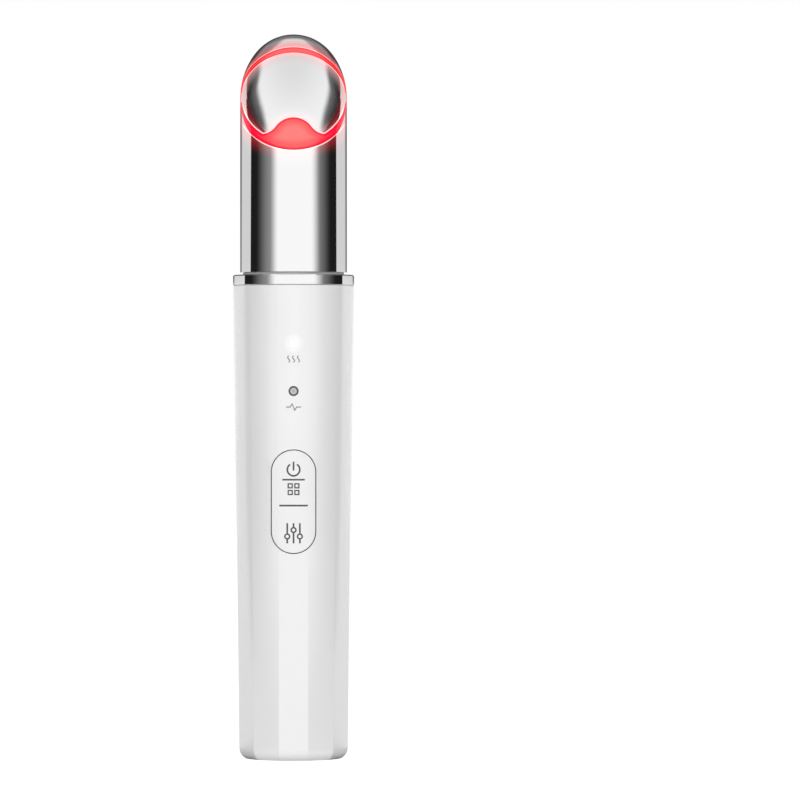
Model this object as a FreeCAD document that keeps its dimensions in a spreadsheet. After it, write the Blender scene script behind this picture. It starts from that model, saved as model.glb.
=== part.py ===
import FreeCAD
import Part
import Sketcher
import math
import os

# A hand-held eye wand: a white housing that is round at the top and twelve-sided
# at the foot, a chrome collar and a chrome head with a slanted, crowned face.
# Millimetres and degrees. +Z is up along the wand, the pad and the face look
# towards -Y, and the origin is the middle of the foot.

SIZES = {
    # housing: a tapered tube with a floor, and the pieces at its ends
    "housing_height": 107.3,
    "housing_top_radius": 13.75,
    "housing_foot_radius": 12.3,
    "facet_count": 12,
    "facet_height": 60.0,
    "housing_wall": 1.8,
    "foot_round": 2.6,
    "floor_thickness": 2.6,
    "ledge_radius": 7.2,
    "cap_radius": 8.4,
    "cap_thickness": 1.6,
    "cap_gap": 0.1,
    "gasket_width": 0.7,
    "gasket_thickness": 0.4,
    "collar_thickness": 2.5,
    "collar_edge_break": 0.25,
    "skirt_depth": 2.0,
    "skirt_gap": 0.15,
    # head: tube, neck and spigot
    "neck_radius": 11.45,
    "neck_height": 0.6,
    "tube_radius": 12.1,
    "tube_wall": 1.1,
    "spigot_height": 8.0,
    "spigot_gap": 0.1,
    "spigot_stem_radius": 10.2,
    "spigot_bore": 7.5,
    "ring_seal_section": 0.55,
    "ring_seal_height": 4.0,
    "ring_groove_half_height": 0.66,
    # slanted face: a shell of a large torus that closes the tube
    "face_rise": 20.5,
    "face_angle": 50.0,
    "face_length_radius": 65.0,
    "face_cross_radius": 24.0,
    "face_edge_round": 2.6,
    "dome_rise": 20.8,
    "dome_height": 15.5,
    # light guide, plate and what is behind them, measured along the face
    "guide_thickness": 1.2,
    "guide_depth": 1.8,
    "face_widest": 15.7,
    "guide_half_width": 12.55,
    "guide_upper_length": 12.6,
    "guide_lower_length": 16.6,
    "guide_side_up": 3.8,
    "guide_side_down": 5.0,
    "plate_half_width": 11.8,
    "plate_upper_length": 10.5,
    "plate_lower_length": 15.1,
    "plate_side_up": 0.9,
    "plate_side_down": 1.7,
    "plate_thickness": 0.9,
    "plate_rise": 0.15,
    "wave_top": 6.76,
    "wave_low": 3.42,
    "wave_lobe_offset": 6.4,
    "wave_lobe_radius": 2.85,
    "window_centre": 17.2,
    "window_half_width": 8.0,
    "window_half_length": 8.0,
    "heater_half_width": 6.4,
    "heater_half_length": 6.2,
    "heater_thickness": 0.3,
    "sensor_radius": 0.8,
    "contact_radius": 0.7,
    "contact_place": 10.15,
    "lamp_board_depth": 5.7,
    "lamp_board_thickness": 0.8,
    "lamp_board_gap": 0.3,
    "lamp_count": 8,
    "lamp_ring_radius": 7.4,
    "lamp_width": 1.6,
    "lamp_height": 0.7,
    "reflector_wall": 1.3,
    "ribbon_width": 6.0,
    "ribbon_thickness": 0.3,
    # inner frame
    "frame_gap": 0.35,
    "flange_drop": 4.0,
    "flange_thickness": 3.0,
    "spine_face": 5.0,
    "spine_thickness": 1.1,
    "spine_half_width": 8.4,
    "frame_foot_thickness": 1.6,
    "frame_web": 1.4,
    "boss_radius": 1.8,
    "boss_place": 5.6,
    "screw_radius": 0.8,
    "screw_head_radius": 1.5,
    "screw_head_height": 0.8,
    "cap_screw_length": 5.9,
    "spigot_screw_count": 3,
    "spigot_screw_length": 8.0,
    # cell
    "cell_radius": 7.0,
    "cell_length": 50.0,
    "cell_base": 28.0,
    "cell_pad_thickness": 0.6,
    "cell_pad_width": 8.0,
    # port board and charging socket
    "port_board_height": 8.0,
    "port_board_thickness": 0.8,
    "port_board_radius": 9.4,
    "socket_width": 8.94,
    "socket_depth": 3.26,
    "socket_wall": 0.3,
    "socket_recess": 0.3,
    "socket_tongue_width": 6.69,
    "socket_tongue_thickness": 0.7,
    "socket_cavity": 5.9,
    "socket_gap": 0.15,
    # main board and what is on it
    "board_half_width": 7.5,
    "board_top_gap": 3.0,
    "board_height": 76.0,
    "board_thickness": 1.0,
    "board_standoff": 0.9,
    "board_screw_offset": 5.6,
    "board_screw_margin": 5.0,
    "board_screw_radius": 0.7,
    "board_screw_head_radius": 1.3,
    # indicators
    "upper_indicator_drop": 13.15,
    "indicator_pitch": 10.7,
    "indicator_radius": 1.15,
    "indicator_lamp_width": 2.0,
    "indicator_lamp_height": 0.8,
    "indicator_gap": 0.3,
    # pad, its rocker joint and its two switches
    "pad_drop": 24.9,
    "pad_half_width": 4.9,
    "pad_half_height": 11.55,
    "pad_gap": 0.22,
    "pad_sink": 0.08,
    "pad_back": 10.9,
    "pivot_depth": 9.9,
    "pivot_radius": 0.6,
    "pivot_clearance": 0.04,
    "lug_radius": 1.3,
    "lug_offset": 1.6,
    "lug_width": 1.2,
    "ear_offset": 3.4,
    "ear_width": 1.0,
    "ear_half_height": 1.6,
    "ear_gap": 0.35,
    "bracket_plate": 0.5,
    "post_radius": 1.1,
    "switch_offset": 7.6,
    "switch_width": 4.5,
    "switch_height": 1.6,
    "plunger_radius": 1.1,
    "plunger_height": 0.7,
    "press_travel": 0.36,
}

# Chips on the front of the main board: rise over the middle of the pad, offset to +X, width, depth.
CHIPS = (
    ("controller", -18.9, 0.0, 6.0, 0.9),
    ("charger", -26.4, -2.6, 3.2, 0.8),
    ("step_up_coil", -25.9, 2.2, 4.0, 1.8),
    ("pulse_transformer", 17.6, 0.0, 6.0, 2.4),
)

OUTSIDE = 40.0  # reach of a cutting tool past the piece that it cuts
SEAM_LEAST = 1.0  # an edge round the face climbs more than this; level seams do not


class Size:
    """A length that carries both its expression in the sheet and its value."""

    def __init__(self, text, value):
        self.text = text
        self.value = value

    @staticmethod
    def of(other):
        return other if isinstance(other, Size) else Size(repr(float(other)), float(other))

    def __add__(self, other):
        other = Size.of(other)
        return Size(f"({self.text} + {other.text})", self.value + other.value)

    def __sub__(self, other):
        other = Size.of(other)
        return Size(f"({self.text} - {other.text})", self.value - other.value)

    def __mul__(self, other):
        other = Size.of(other)
        return Size(f"({self.text} * {other.text})", self.value * other.value)

    def __truediv__(self, other):
        other = Size.of(other)
        return Size(f"({self.text} / {other.text})", self.value / other.value)

    def __radd__(self, other):
        return Size.of(other) + self

    def __rsub__(self, other):
        return Size.of(other) - self

    def __rmul__(self, other):
        return Size.of(other) * self

    def __neg__(self):
        return Size.of(0.0) - self

    def root(self):
        return Size(f"sqrt({self.text})", math.sqrt(self.value))

    def cos(self):
        return Size(f"cos({self.text} * 1 deg)", math.cos(math.radians(self.value)))

    def sin(self):
        return Size(f"sin({self.text} * 1 deg)", math.sin(math.radians(self.value)))


doc = FreeCAD.newDocument("EyeWand")
sheet = doc.addObject("Spreadsheet::Sheet", "Sizes")
for row, (alias, number) in enumerate(SIZES.items(), start=1):
    sheet.set(f"A{row}", alias)
    sheet.set(f"B{row}", str(number))
    sheet.setAlias(f"B{row}", alias)
doc.recompute()


class Sheet:
    """Gives each cell of the sheet as a Size, by its alias."""

    def __getattr__(self, alias):
        return Size(f"Sizes.{alias}", float(SIZES[alias]))


s = Sheet()
sub_parts = []


# ---------------------------------------------------------------- building blocks
def bind(item, **properties):
    """Ties properties of an object to the sheet."""
    for name, size in properties.items():
        item.setExpression(name, Size.of(size).text)
    return item


def place(item, x=0.0, y=0.0, z=0.0, axis=(0, 0, 1), angle=0.0):
    """Places an object at bound coordinates, turned about one axis by a fixed angle."""
    item.Placement = FreeCAD.Placement(FreeCAD.Vector(), FreeCAD.Rotation(FreeCAD.Vector(*axis), angle))
    for name, size in (("x", x), ("y", y), ("z", z)):
        size = Size.of(size)
        setattr(item.Placement.Base, name, size.value)
        item.setExpression(f"Placement.Base.{name}", size.text)
    return item


def block(name, low, high):
    """A box between two corners, each a triple of sizes."""
    item = doc.addObject("Part::Box", name)
    spans = [Size.of(top) - bottom for bottom, top in zip(low, high)]
    bind(item, Length=spans[0], Width=spans[1], Height=spans[2])
    return place(item, *low)


def rod(name, radius, length, x=0.0, y=0.0, z=0.0, axis=(0, 0, 1), angle=0.0):
    """A cylinder along +Z, or turned about an axis."""
    item = doc.addObject("Part::Cylinder", name)
    bind(item, Radius=radius, Height=length)
    return place(item, x, y, z, axis, angle)


def rod_back(name, radius, front, back, x, z):
    """A cylinder along Y from a front to a back plane, both given as Y."""
    return rod(name, radius, Size.of(back) - front, x, front, z, (1, 0, 0), -90.0)


def rod_across(name, radius, half_length, y, z):
    """A cylinder along X, centred on the wand's middle plane."""
    return rod(name, radius, half_length * 2, -Size.of(half_length), y, z, (0, 1, 0), 90.0)


def cut(name, base, *tools):
    """Base less each tool in turn."""
    for number, tool in enumerate(tools, start=1):
        item = doc.addObject("Part::Cut", name if number == len(tools) else f"{name}_step{number}")
        item.Base = base
        item.Tool = tool
        base = item
    return base


def fuse(name, *items):
    item = doc.addObject("Part::MultiFuse", name)
    item.Shapes = list(items)
    item.Refine = True
    return item


def common(name, *items):
    item = doc.addObject("Part::MultiCommon", name)
    item.Shapes = list(items)
    return item


def group(name, items):
    """Separate solids kept in one sub-part."""
    item = doc.addObject("Part::Compound", name)
    item.Links = list(items)
    return item


def keep(label, item):
    """Marks an object as a sub-part, under the name of its file."""
    item.Label = label
    sub_parts.append(item)
    return item


def ring_of(name, base, count, angle):
    """Copies of an object round the wand's axis; angle is the first copy's turn."""
    turned = []
    for number in range(int(count)):
        item = doc.addObject("Part::Compound", f"{name}_{number + 1}")
        item.Links = [base]
        turn = angle + 360.0 * number / count
        item.Placement = FreeCAD.Placement(FreeCAD.Vector(), FreeCAD.Rotation(FreeCAD.Vector(0, 0, 1), turn))
        turned.append(item)
    return turned


# ---------------------------------------------------------------- sketched bodies
def plane_of(body, role):
    return [feature for feature in body.Origin.OriginFeatures if feature.Role == role][0]


def outline(body, name, role, points):
    """A closed sketch whose corners are bound to sizes, two for each corner."""
    sketch = body.newObject("Sketcher::SketchObject", name)
    sketch.AttachmentSupport = [(plane_of(body, role), "")]
    sketch.MapMode = "FlatFace"
    corners = [(Size.of(u), Size.of(v)) for u, v in points]
    vectors = [FreeCAD.Vector(u.value, v.value, 0) for u, v in corners]
    for number, start in enumerate(vectors):
        end = vectors[(number + 1) % len(vectors)]
        sketch.addGeometry(Part.LineSegment(start, end), False)
    for number in range(len(vectors)):
        following = (number + 1) % len(vectors)
        sketch.addConstraint(Sketcher.Constraint("Coincident", number, 2, following, 1))
    for number, corner in enumerate(corners):
        for kind, axis, size in (("DistanceX", -2, corner[0]), ("DistanceY", -1, corner[1])):
            if abs(size.value) < 1e-9:
                sketch.addConstraint(Sketcher.Constraint("PointOnObject", number, 1, axis))
                continue
            index = sketch.addConstraint(Sketcher.Constraint(kind, -1, 1, number, 1, size.value))
            sketch.setExpression(f"Constraints[{index}]", size.text)
    return sketch


def turned_body(name, points):
    """A body turned about Z from a profile of radius and height."""
    body = doc.addObject("PartDesign::Body", f"{name}_body")
    sketch = outline(body, f"{name}_profile", "XZ_Plane", points)
    turn = body.newObject("PartDesign::Revolution", f"{name}_turn")
    turn.Profile = sketch
    turn.ReferenceAxis = (sketch, ["V_Axis"])
    turn.Angle = 360.0
    body.Tip = turn
    doc.recompute()
    return body


def padded_body(name, points, front, thickness):
    """A body padded along +Y from a front plane, from an outline of X and Z."""
    body = doc.addObject("PartDesign::Body", f"{name}_body")
    sketch = outline(body, f"{name}_outline", "XZ_Plane", points)
    pad = body.newObject("PartDesign::Pad", f"{name}_pad")
    pad.Profile = sketch
    pad.Reversed = True
    bind(pad, Length=thickness)
    body.Tip = pad
    place(body, 0.0, front, 0.0)
    doc.recompute()
    return body


# ---------------------------------------------------------------- heights that several pieces share
collar_top = s.housing_height + s.collar_thickness
tube_base = collar_top + s.neck_height
spigot_top = tube_base + s.spigot_height
face_front = spigot_top + s.face_rise
dome_base = face_front + s.dome_rise
tube_bore = s.tube_radius - s.tube_wall
spigot_radius = tube_bore - s.spigot_gap
flange_top = s.housing_height - s.flange_drop
flange_base = flange_top - s.flange_thickness
cavity_top_radius = s.housing_top_radius - s.housing_wall
cavity_foot_radius = s.housing_foot_radius - s.housing_wall
spine_back = -s.spine_face + s.spine_thickness
board_back = -s.spine_face - s.board_standoff
board_front = board_back - s.board_thickness
board_top = flange_base - s.board_top_gap
board_base = board_top - s.board_height
frame_radius = cavity_foot_radius - s.frame_gap
upper_indicator = s.housing_height - s.upper_indicator_drop
lower_indicator = upper_indicator - s.indicator_pitch
pad_centre = lower_indicator - s.pad_drop


def cavity_radius(height):
    """Radius of the housing's conical inside at a height."""
    climb = (height - s.floor_thickness) / (s.housing_height - s.floor_thickness)
    return cavity_foot_radius + (cavity_top_radius - cavity_foot_radius) * climb


# ---------------------------------------------------------------- frame of the slanted face
slope_cos = s.face_angle.cos()
slope_sin = s.face_angle.sin()
reach = OUTSIDE / 2


def face_point(along, depth):
    """Y and Z of a point of the middle plane, from its place on the face's chord."""
    return (
        along * slope_cos - depth * slope_sin - s.tube_radius,
        along * slope_sin + depth * slope_cos + face_front,
    )


def tilt(item, x, along, depth):
    """Places an object in the frame of the face: X across, Y up the slope, Z outwards."""
    y, z = face_point(Size.of(along), Size.of(depth))
    place(item, x, y, z, (1, 0, 0), SIZES["face_angle"])
    item.setExpression("Placement.Rotation.Angle", s.face_angle.text)
    return item


def face_block(name, low, high):
    """A box between two corners in the frame of the face."""
    item = doc.addObject("Part::Box", name)
    spans = [Size.of(top) - bottom for bottom, top in zip(low, high)]
    bind(item, Length=spans[0], Width=spans[1], Height=spans[2])
    return tilt(item, *low)


def face_rod(name, radius, x, along, low, high):
    """A cylinder square to the face's chord."""
    item = doc.addObject("Part::Cylinder", name)
    bind(item, Radius=radius, Height=Size.of(high) - low)
    return tilt(item, x, along, low)


def face_oval(name, half_width, half_length, along):
    """An oval prism square to the face's chord."""
    oval = doc.addObject("Part::Ellipse", f"{name}_outline")
    lengthwise = half_length.value >= half_width.value
    long_half, short_half = (half_length, half_width) if lengthwise else (half_width, half_length)
    bind(oval, MajorRadius=long_half, MinorRadius=short_half)
    y, z = face_point(Size.of(along), Size.of(0.0))
    tipped = FreeCAD.Rotation(FreeCAD.Vector(1, 0, 0), SIZES["face_angle"])
    quarter = FreeCAD.Rotation(FreeCAD.Vector(0, 0, 1), 90.0 if lengthwise else 0.0)
    oval.Placement = FreeCAD.Placement(FreeCAD.Vector(), tipped.multiply(quarter))
    oval.setExpression("Placement.Base.y", y.text)
    oval.setExpression("Placement.Base.z", z.text)
    prism = doc.addObject("Part::Extrusion", name)
    prism.Base = oval
    prism.DirMode = "Normal"
    prism.LengthFwd = OUTSIDE
    prism.Symmetric = True
    prism.Solid = True
    return prism


def face_egg(name, half_width, upper_length, lower_length, side_up, side_down):
    """A prism of two half ovals that meet where they are widest, let through the tube's sides there."""
    halves = []
    for word, length, start in (
        ("upper", upper_length, s.face_widest),
        ("lower", lower_length, s.face_widest - reach),
    ):
        oval = face_oval(f"{name}_{word}_oval", half_width, length, s.face_widest)
        side = face_block(f"{name}_{word}_side", (-reach, start, -reach), (reach, start + reach, reach))
        halves.append(common(f"{name}_{word}_half", oval, side))
    band = face_block(
        f"{name}_band",
        (-reach, s.face_widest - side_down, -reach),
        (reach, s.face_widest + side_up, reach),
    )
    return fuse(name, *halves, band)


chord_half = s.tube_radius / slope_cos
centre_drop = (s.face_length_radius * s.face_length_radius - chord_half * chord_half).root()


def crown(name, inset):
    """The large torus whose skin is the face, made smaller by an inset."""
    item = doc.addObject("Part::Torus", name)
    bind(item, Radius1=s.face_length_radius - s.face_cross_radius, Radius2=s.face_cross_radius - inset)
    y, z = face_point(chord_half, -centre_drop)
    return place(item, 0.0, y, z, (0, 1, 0), 90.0)


# ---------------------------------------------------------------- housing
# The outside is a cone above the facets' height and is ruled from there to a regular
# polygon at the foot, so each facet is flat at the foot and fades out upwards.
facets = int(SIZES["facet_count"])
half_facet = 180.0 / facets


def arc_ring(name, radius, height):
    """A circle of as many arcs as the foot has facets, split where its corners are."""
    wire = doc.addObject("Part::Feature", name)
    edges = []
    for number in range(facets):
        angles = [math.radians(90.0 + half_facet * (2 * number + turn)) for turn in (-1, 0, 1)]
        ends = [FreeCAD.Vector(radius * math.cos(a), radius * math.sin(a), 0) for a in angles]
        edges.append(Part.Arc(*ends).toShape())
    wire.Shape = Part.Wire(edges)
    wire.Placement = FreeCAD.Placement(FreeCAD.Vector(0, 0, height), FreeCAD.Rotation())
    return wire


def corner_ring(name, apothem, height):
    """A regular polygon with a flat towards -Y, given the distance to its flats."""
    wire = doc.addObject("Part::Feature", name)
    reach = apothem / math.cos(math.radians(half_facet))
    corners = []
    for number in range(facets + 1):
        angle = math.radians(90.0 + half_facet * (2 * number - 1))
        corners.append(FreeCAD.Vector(reach * math.cos(angle), reach * math.sin(angle), 0))
    wire.Shape = Part.makePolygon(corners)
    wire.Placement = FreeCAD.Placement(FreeCAD.Vector(0, 0, height), FreeCAD.Rotation())
    return wire


facet_share = s.facet_height / s.housing_height
facet_end_radius = s.housing_foot_radius + (s.housing_top_radius - s.housing_foot_radius) * facet_share
housing_skin = doc.addObject("Part::Loft", "housing_skin")
housing_skin.Sections = [
    corner_ring("housing_foot_outline", SIZES["housing_foot_radius"], 0.0),
    arc_ring("housing_waist_outline", facet_end_radius.value, SIZES["facet_height"]),
    arc_ring("housing_top_outline", SIZES["housing_top_radius"], SIZES["housing_height"]),
]
housing_skin.Solid = True
housing_skin.Ruled = True
doc.recompute()

housing_blank = doc.addObject("Part::Fillet", "housing_blank")
housing_blank.Base = housing_skin
foot_edges = [
    number
    for number, edge in enumerate(housing_skin.Shape.Edges, start=1)
    if abs(edge.BoundBox.ZMin) < 1e-6 and edge.BoundBox.ZMax < 1e-6
]
housing_blank.Edges = [(number, SIZES["foot_round"], SIZES["foot_round"]) for number in foot_edges]
doc.recompute()

cavity = doc.addObject("Part::Cone", "housing_cavity")
cavity_height = s.housing_height - s.floor_thickness
bind(cavity, Radius1=cavity_foot_radius, Radius2=cavity_top_radius, Height=cavity_height)
place(cavity, 0.0, 0.0, s.floor_thickness)

cap_recess = rod("cap_recess", s.cap_radius + s.cap_gap, s.cap_thickness)
ledge_hole = rod("ledge_hole", s.ledge_radius, s.floor_thickness)

gap_half_width = s.pad_half_width + s.pad_gap
gap_half_height = s.pad_half_height + s.pad_gap


def stadium(name, half_width, half_height, front, back):
    """A prism along Y with a straight-sided outline and round ends, centred on the pad."""
    straight = half_height - half_width
    middle = block(
        f"{name}_middle",
        (-half_width, front, pad_centre - straight),
        (half_width, back, pad_centre + straight),
    )
    top = rod_back(f"{name}_top", half_width, front, back, 0.0, pad_centre + straight)
    bottom = rod_back(f"{name}_bottom", half_width, front, back, 0.0, pad_centre - straight)
    return fuse(name, middle, top, bottom)


front_far = -s.housing_top_radius * 2
pad_opening = stadium("pad_opening", gap_half_width, gap_half_height, front_far, -s.spine_face)


def indicator_rod(name, height, back):
    return rod_back(name, s.indicator_radius, front_far, back, 0.0, height)


keep(
    "housing",
    cut(
        "housing_shell",
        housing_blank,
        cavity,
        cap_recess,
        ledge_hole,
        pad_opening,
        indicator_rod("upper_indicator_hole", upper_indicator, -s.spine_face),
        indicator_rod("lower_indicator_hole", lower_indicator, -s.spine_face),
    ),
)

# ---------------------------------------------------------------- pieces at the foot
socket_half_width = s.socket_width / 2
socket_half_depth = s.socket_depth / 2


def socket_prism(name, half_width, half_depth, low, high):
    """A prism along Z with the socket's round-ended outline."""
    straight = half_width - half_depth
    return fuse(
        name,
        block(f"{name}_middle", (-straight, -half_depth, low), (straight, half_depth, high)),
        rod(f"{name}_left", half_depth, high - low, -straight, 0.0, low),
        rod(f"{name}_right", half_depth, high - low, straight, 0.0, low),
    )


socket_top = s.port_board_height
socket_low = s.socket_recess
gasket_outer = s.cap_radius - s.socket_gap
gasket_inner = gasket_outer - s.gasket_width
gasket_low = s.cap_thickness - s.gasket_thickness
keep(
    "bottom_gasket",
    turned_body(
        "bottom_gasket",
        [
            (gasket_inner, gasket_low),
            (gasket_outer, gasket_low),
            (gasket_outer, s.cap_thickness),
            (gasket_inner, s.cap_thickness),
        ],
    ),
)
gasket_groove = cut(
    "gasket_groove",
    rod("gasket_groove_outside", gasket_outer, s.gasket_thickness, 0.0, 0.0, gasket_low),
    rod("gasket_groove_inside", gasket_inner, s.gasket_thickness, 0.0, 0.0, gasket_low),
)


cap_shank_low = s.socket_recess + s.screw_head_height


def cap_screw(name, y):
    """A screw from below, its head sunk in the cap."""
    return fuse(
        name,
        rod(f"{name}_head", s.screw_head_radius, s.screw_head_height, 0.0, y, s.socket_recess),
        rod(f"{name}_shank", s.screw_radius, s.cap_screw_length, 0.0, y, cap_shank_low),
    )


def cap_screw_hole(name, y):
    """The way of a cap screw, with the pocket that its head sinks into."""
    return fuse(
        name,
        rod(f"{name}_pocket", s.screw_head_radius, cap_shank_low, 0.0, y, 0.0),
        rod(f"{name}_bore", s.screw_radius, cap_shank_low + s.cap_screw_length, 0.0, y, 0.0),
    )


boss_places = (("rear", s.boss_place), ("front", -s.boss_place))
screw_ways = [cap_screw_hole(f"cap_way_{word}", y) for word, y in boss_places]
socket_slot = socket_prism(
    "socket_slot",
    socket_half_width + s.socket_gap,
    socket_half_depth + s.socket_gap,
    Size.of(0.0),
    s.port_board_height,
)
cap_disc = rod("cap_disc", s.cap_radius, s.cap_thickness)
keep("bottom_cap", cut("bottom_cap_disc", cap_disc, gasket_groove, socket_slot, *screw_ways))
keep("cap_screws", group("cap_screw_pair", [cap_screw(f"cap_screw_{word}", y) for word, y in boss_places]))

# The charging socket stands on end: a hollow shell with a tongue on its base.
socket_block = socket_prism("socket_block", socket_half_width, socket_half_depth, socket_low, socket_top)
socket_hollow = socket_prism(
    "socket_hollow",
    socket_half_width - s.socket_wall,
    socket_half_depth - s.socket_wall,
    socket_low,
    socket_low + s.socket_cavity,
)
tongue_half_width = s.socket_tongue_width / 2
tongue_half_depth = s.socket_tongue_thickness / 2
tongue = block(
    "socket_tongue",
    (-tongue_half_width, -tongue_half_depth, socket_low + s.socket_recess * 2),
    (tongue_half_width, tongue_half_depth, socket_low + s.socket_cavity),
)
keep("charging_socket", fuse("socket_body", cut("socket_shell", socket_block, socket_hollow), tongue))

port_disc = rod("port_disc", s.port_board_radius, s.port_board_thickness, 0.0, 0.0, socket_top)
port_front_cut = block(
    "port_front_cut",
    (-s.port_board_radius, -s.port_board_radius, socket_top),
    (s.port_board_radius, spine_back + s.frame_gap, socket_top + s.port_board_thickness),
)
keep("port_board", cut("port_board_disc", port_disc, port_front_cut))

# ---------------------------------------------------------------- inner frame
foot_low = s.floor_thickness
foot_top = foot_low + s.frame_foot_thickness
frame_foot = rod("frame_foot", frame_radius, s.frame_foot_thickness, 0.0, 0.0, foot_low)
frame_bosses = [
    rod(f"frame_boss_{word}", s.boss_radius, s.port_board_height - foot_low, 0.0, y, foot_low)
    for word, y in boss_places
]
spine = block(
    "frame_spine",
    (-s.spine_half_width, -s.spine_face, foot_low),
    (s.spine_half_width, spine_back, flange_top),
)
flange_radius = cavity_radius(flange_base) - s.frame_gap
flange = rod("frame_flange", flange_radius, s.flange_thickness, 0.0, 0.0, flange_base)


def cell_web(name, low):
    """A half disc behind the spine that stops one end of the cell."""
    radius = cavity_radius(low) - s.frame_gap
    disc = rod(f"{name}_disc", radius, s.frame_web, 0.0, 0.0, low)
    front = block(f"{name}_front", (-radius, -radius, low), (radius, -s.spine_face, low + s.frame_web))
    return cut(name, disc, front)


cell_top = s.cell_base + s.cell_length
webs = [cell_web("lower_web", s.cell_base - s.frame_web), cell_web("upper_web", cell_top)]
standoff_places = [
    (f"{side}_{end}", x, z)
    for side, x in (("left", -s.board_screw_offset), ("right", s.board_screw_offset))
    for end, z in (
        ("low", board_base + s.board_screw_margin),
        ("high", board_top - s.board_screw_margin),
    )
]
standoffs = [
    rod_back(f"standoff_{word}", s.board_screw_head_radius, board_back, spine_back, x, z)
    for word, x, z in standoff_places
]
board_screw_ways = [
    rod_back(f"board_way_{word}", s.board_screw_radius, board_front, spine_back, x, z)
    for word, x, z in standoff_places
]
spigot_screw_low = flange_base - s.screw_head_height
spigot_screw_y = (s.spigot_bore + s.spigot_stem_radius) / 2
spigot_shank = rod("spigot_shank", s.screw_radius, s.spigot_screw_length, 0.0, spigot_screw_y, flange_base)
spigot_head = rod(
    "spigot_head", s.screw_head_radius, s.screw_head_height, 0.0, spigot_screw_y, spigot_screw_low
)
spigot_screw = fuse("spigot_screw", spigot_shank, spigot_head)
screw_count = SIZES["spigot_screw_count"]
flange_bore = rod("flange_bore", s.spigot_bore, s.flange_thickness, 0.0, 0.0, flange_base)
frame_solid = fuse("frame_solid", frame_foot, *frame_bosses, spine, flange, *webs, *standoffs)
keep(
    "inner_frame",
    cut(
        "frame_body",
        frame_solid,
        flange_bore,
        socket_slot,
        *screw_ways,
        *board_screw_ways,
        *ring_of("frame_spigot_way", spigot_shank, screw_count, 180.0),
    ),
)
keep("spigot_screws", group("spigot_screw_set", ring_of("spigot_screw", spigot_screw, screw_count, 180.0)))

# ---------------------------------------------------------------- cell
cell_axis = spine_back + s.cell_pad_thickness + s.cell_radius
cell_can = rod("cell_can", s.cell_radius, s.cell_length, 0.0, cell_axis, s.cell_base)
keep("battery_cell", cell_can)
pad_half = s.cell_pad_width / 2
cell_pad_block = block(
    "cell_pad_block",
    (-pad_half, spine_back, s.cell_base + s.frame_web),
    (pad_half, spine_back + s.cell_pad_thickness * 2, cell_top - s.frame_web),
)
keep("cell_pad", cut("cell_pad_body", cell_pad_block, cell_can))

# ---------------------------------------------------------------- main board and what is on it
board_plate = padded_body(
    "board",
    [
        (-s.board_half_width, board_base),
        (s.board_half_width, board_base),
        (s.board_half_width, board_top),
        (-s.board_half_width, board_top),
    ],
    board_front,
    s.board_thickness,
)
keep("main_board", cut("main_board_plate", board_plate, *board_screw_ways))


def board_screw(name, x, z):
    head_front = board_front - s.screw_head_height
    head = rod_back(f"{name}_head", s.board_screw_head_radius, head_front, board_front, x, z)
    shank = rod_back(f"{name}_shank", s.board_screw_radius, board_front, spine_back, x, z)
    return fuse(name, head, shank)


keep(
    "board_screws",
    group("board_screw_set", [board_screw(f"board_screw_{word}", x, z) for word, x, z in standoff_places]),
)


def on_board(name, x, z, width, height, depth):
    """A rectangular component that stands on the front of the board."""
    half_width = Size.of(width) / 2
    half_height = Size.of(height) / 2
    return block(
        name,
        (x - half_width, board_front - depth, z - half_height),
        (x + half_width, board_front, z + half_height),
    )


keep(
    "board_chips",
    group(
        "board_chip_set",
        [
            on_board(f"chip_{word}", Size.of(x), pad_centre + rise, width, width, depth)
            for word, rise, x, width, depth in CHIPS
        ],
    ),
)

indicators = (("upper", upper_indicator), ("lower", lower_indicator))
keep(
    "indicator_lamps",
    group(
        "indicator_lamp_pair",
        [
            on_board(
                f"{word}_indicator_lamp",
                Size.of(0.0),
                height,
                s.indicator_lamp_width,
                s.indicator_lamp_width,
                s.indicator_lamp_height,
            )
            for word, height in indicators
        ],
    ),
)
lens_back = board_front - s.indicator_lamp_height - s.indicator_gap
for word, height in indicators:
    lens_rod = indicator_rod(f"{word}_lens_rod", height, lens_back)
    keep(f"{word}_indicator_lens", common(f"{word}_lens_body", housing_blank, lens_rod))

# ---------------------------------------------------------------- switches, pad and rocker joint
switch_front = board_front - s.switch_height
plunger_front = switch_front - s.plunger_height


def press_switch(name, z):
    body = on_board(f"{name}_body", Size.of(0.0), z, s.switch_width, s.switch_width, s.switch_height)
    plunger = rod_back(f"{name}_plunger", s.plunger_radius, plunger_front, switch_front, 0.0, z)
    return fuse(name, body, plunger)


switch_places = (
    ("upper", pad_centre + s.switch_offset),
    ("lower", pad_centre - s.switch_offset),
)
keep("press_switches", group("switch_pair", [press_switch(f"{word}_switch", z) for word, z in switch_places]))

pad_prism = stadium("pad_prism", s.pad_half_width, s.pad_half_height, front_far, -s.pad_back)
pad_skin = doc.addObject("Part::Feature", "pad_skin")
pad_skin.Shape = housing_blank.Shape.copy()
pad_skin.Placement = FreeCAD.Placement(FreeCAD.Vector(0, SIZES["pad_sink"], 0), FreeCAD.Rotation())
pad_skin.setExpression("Placement.Base.y", s.pad_sink.text)
pad_plate = common("pad_plate", pad_skin, pad_prism)
pivot_y = -s.pivot_depth
pad_inner_face = -s.pad_back - s.frame_gap


def pad_lug(name, x):
    """One ear of the pad, round about the pin and rooted in the pad's back."""
    half = s.lug_width / 2
    eye = rod(f"{name}_eye", s.lug_radius, s.lug_width, x - half, pivot_y, pad_centre, (0, 1, 0), 90.0)
    root = block(
        f"{name}_root",
        (x - half, pad_inner_face, pad_centre - s.lug_radius),
        (x + half, pivot_y, pad_centre + s.lug_radius),
    )
    return fuse(name, eye, root)


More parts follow.
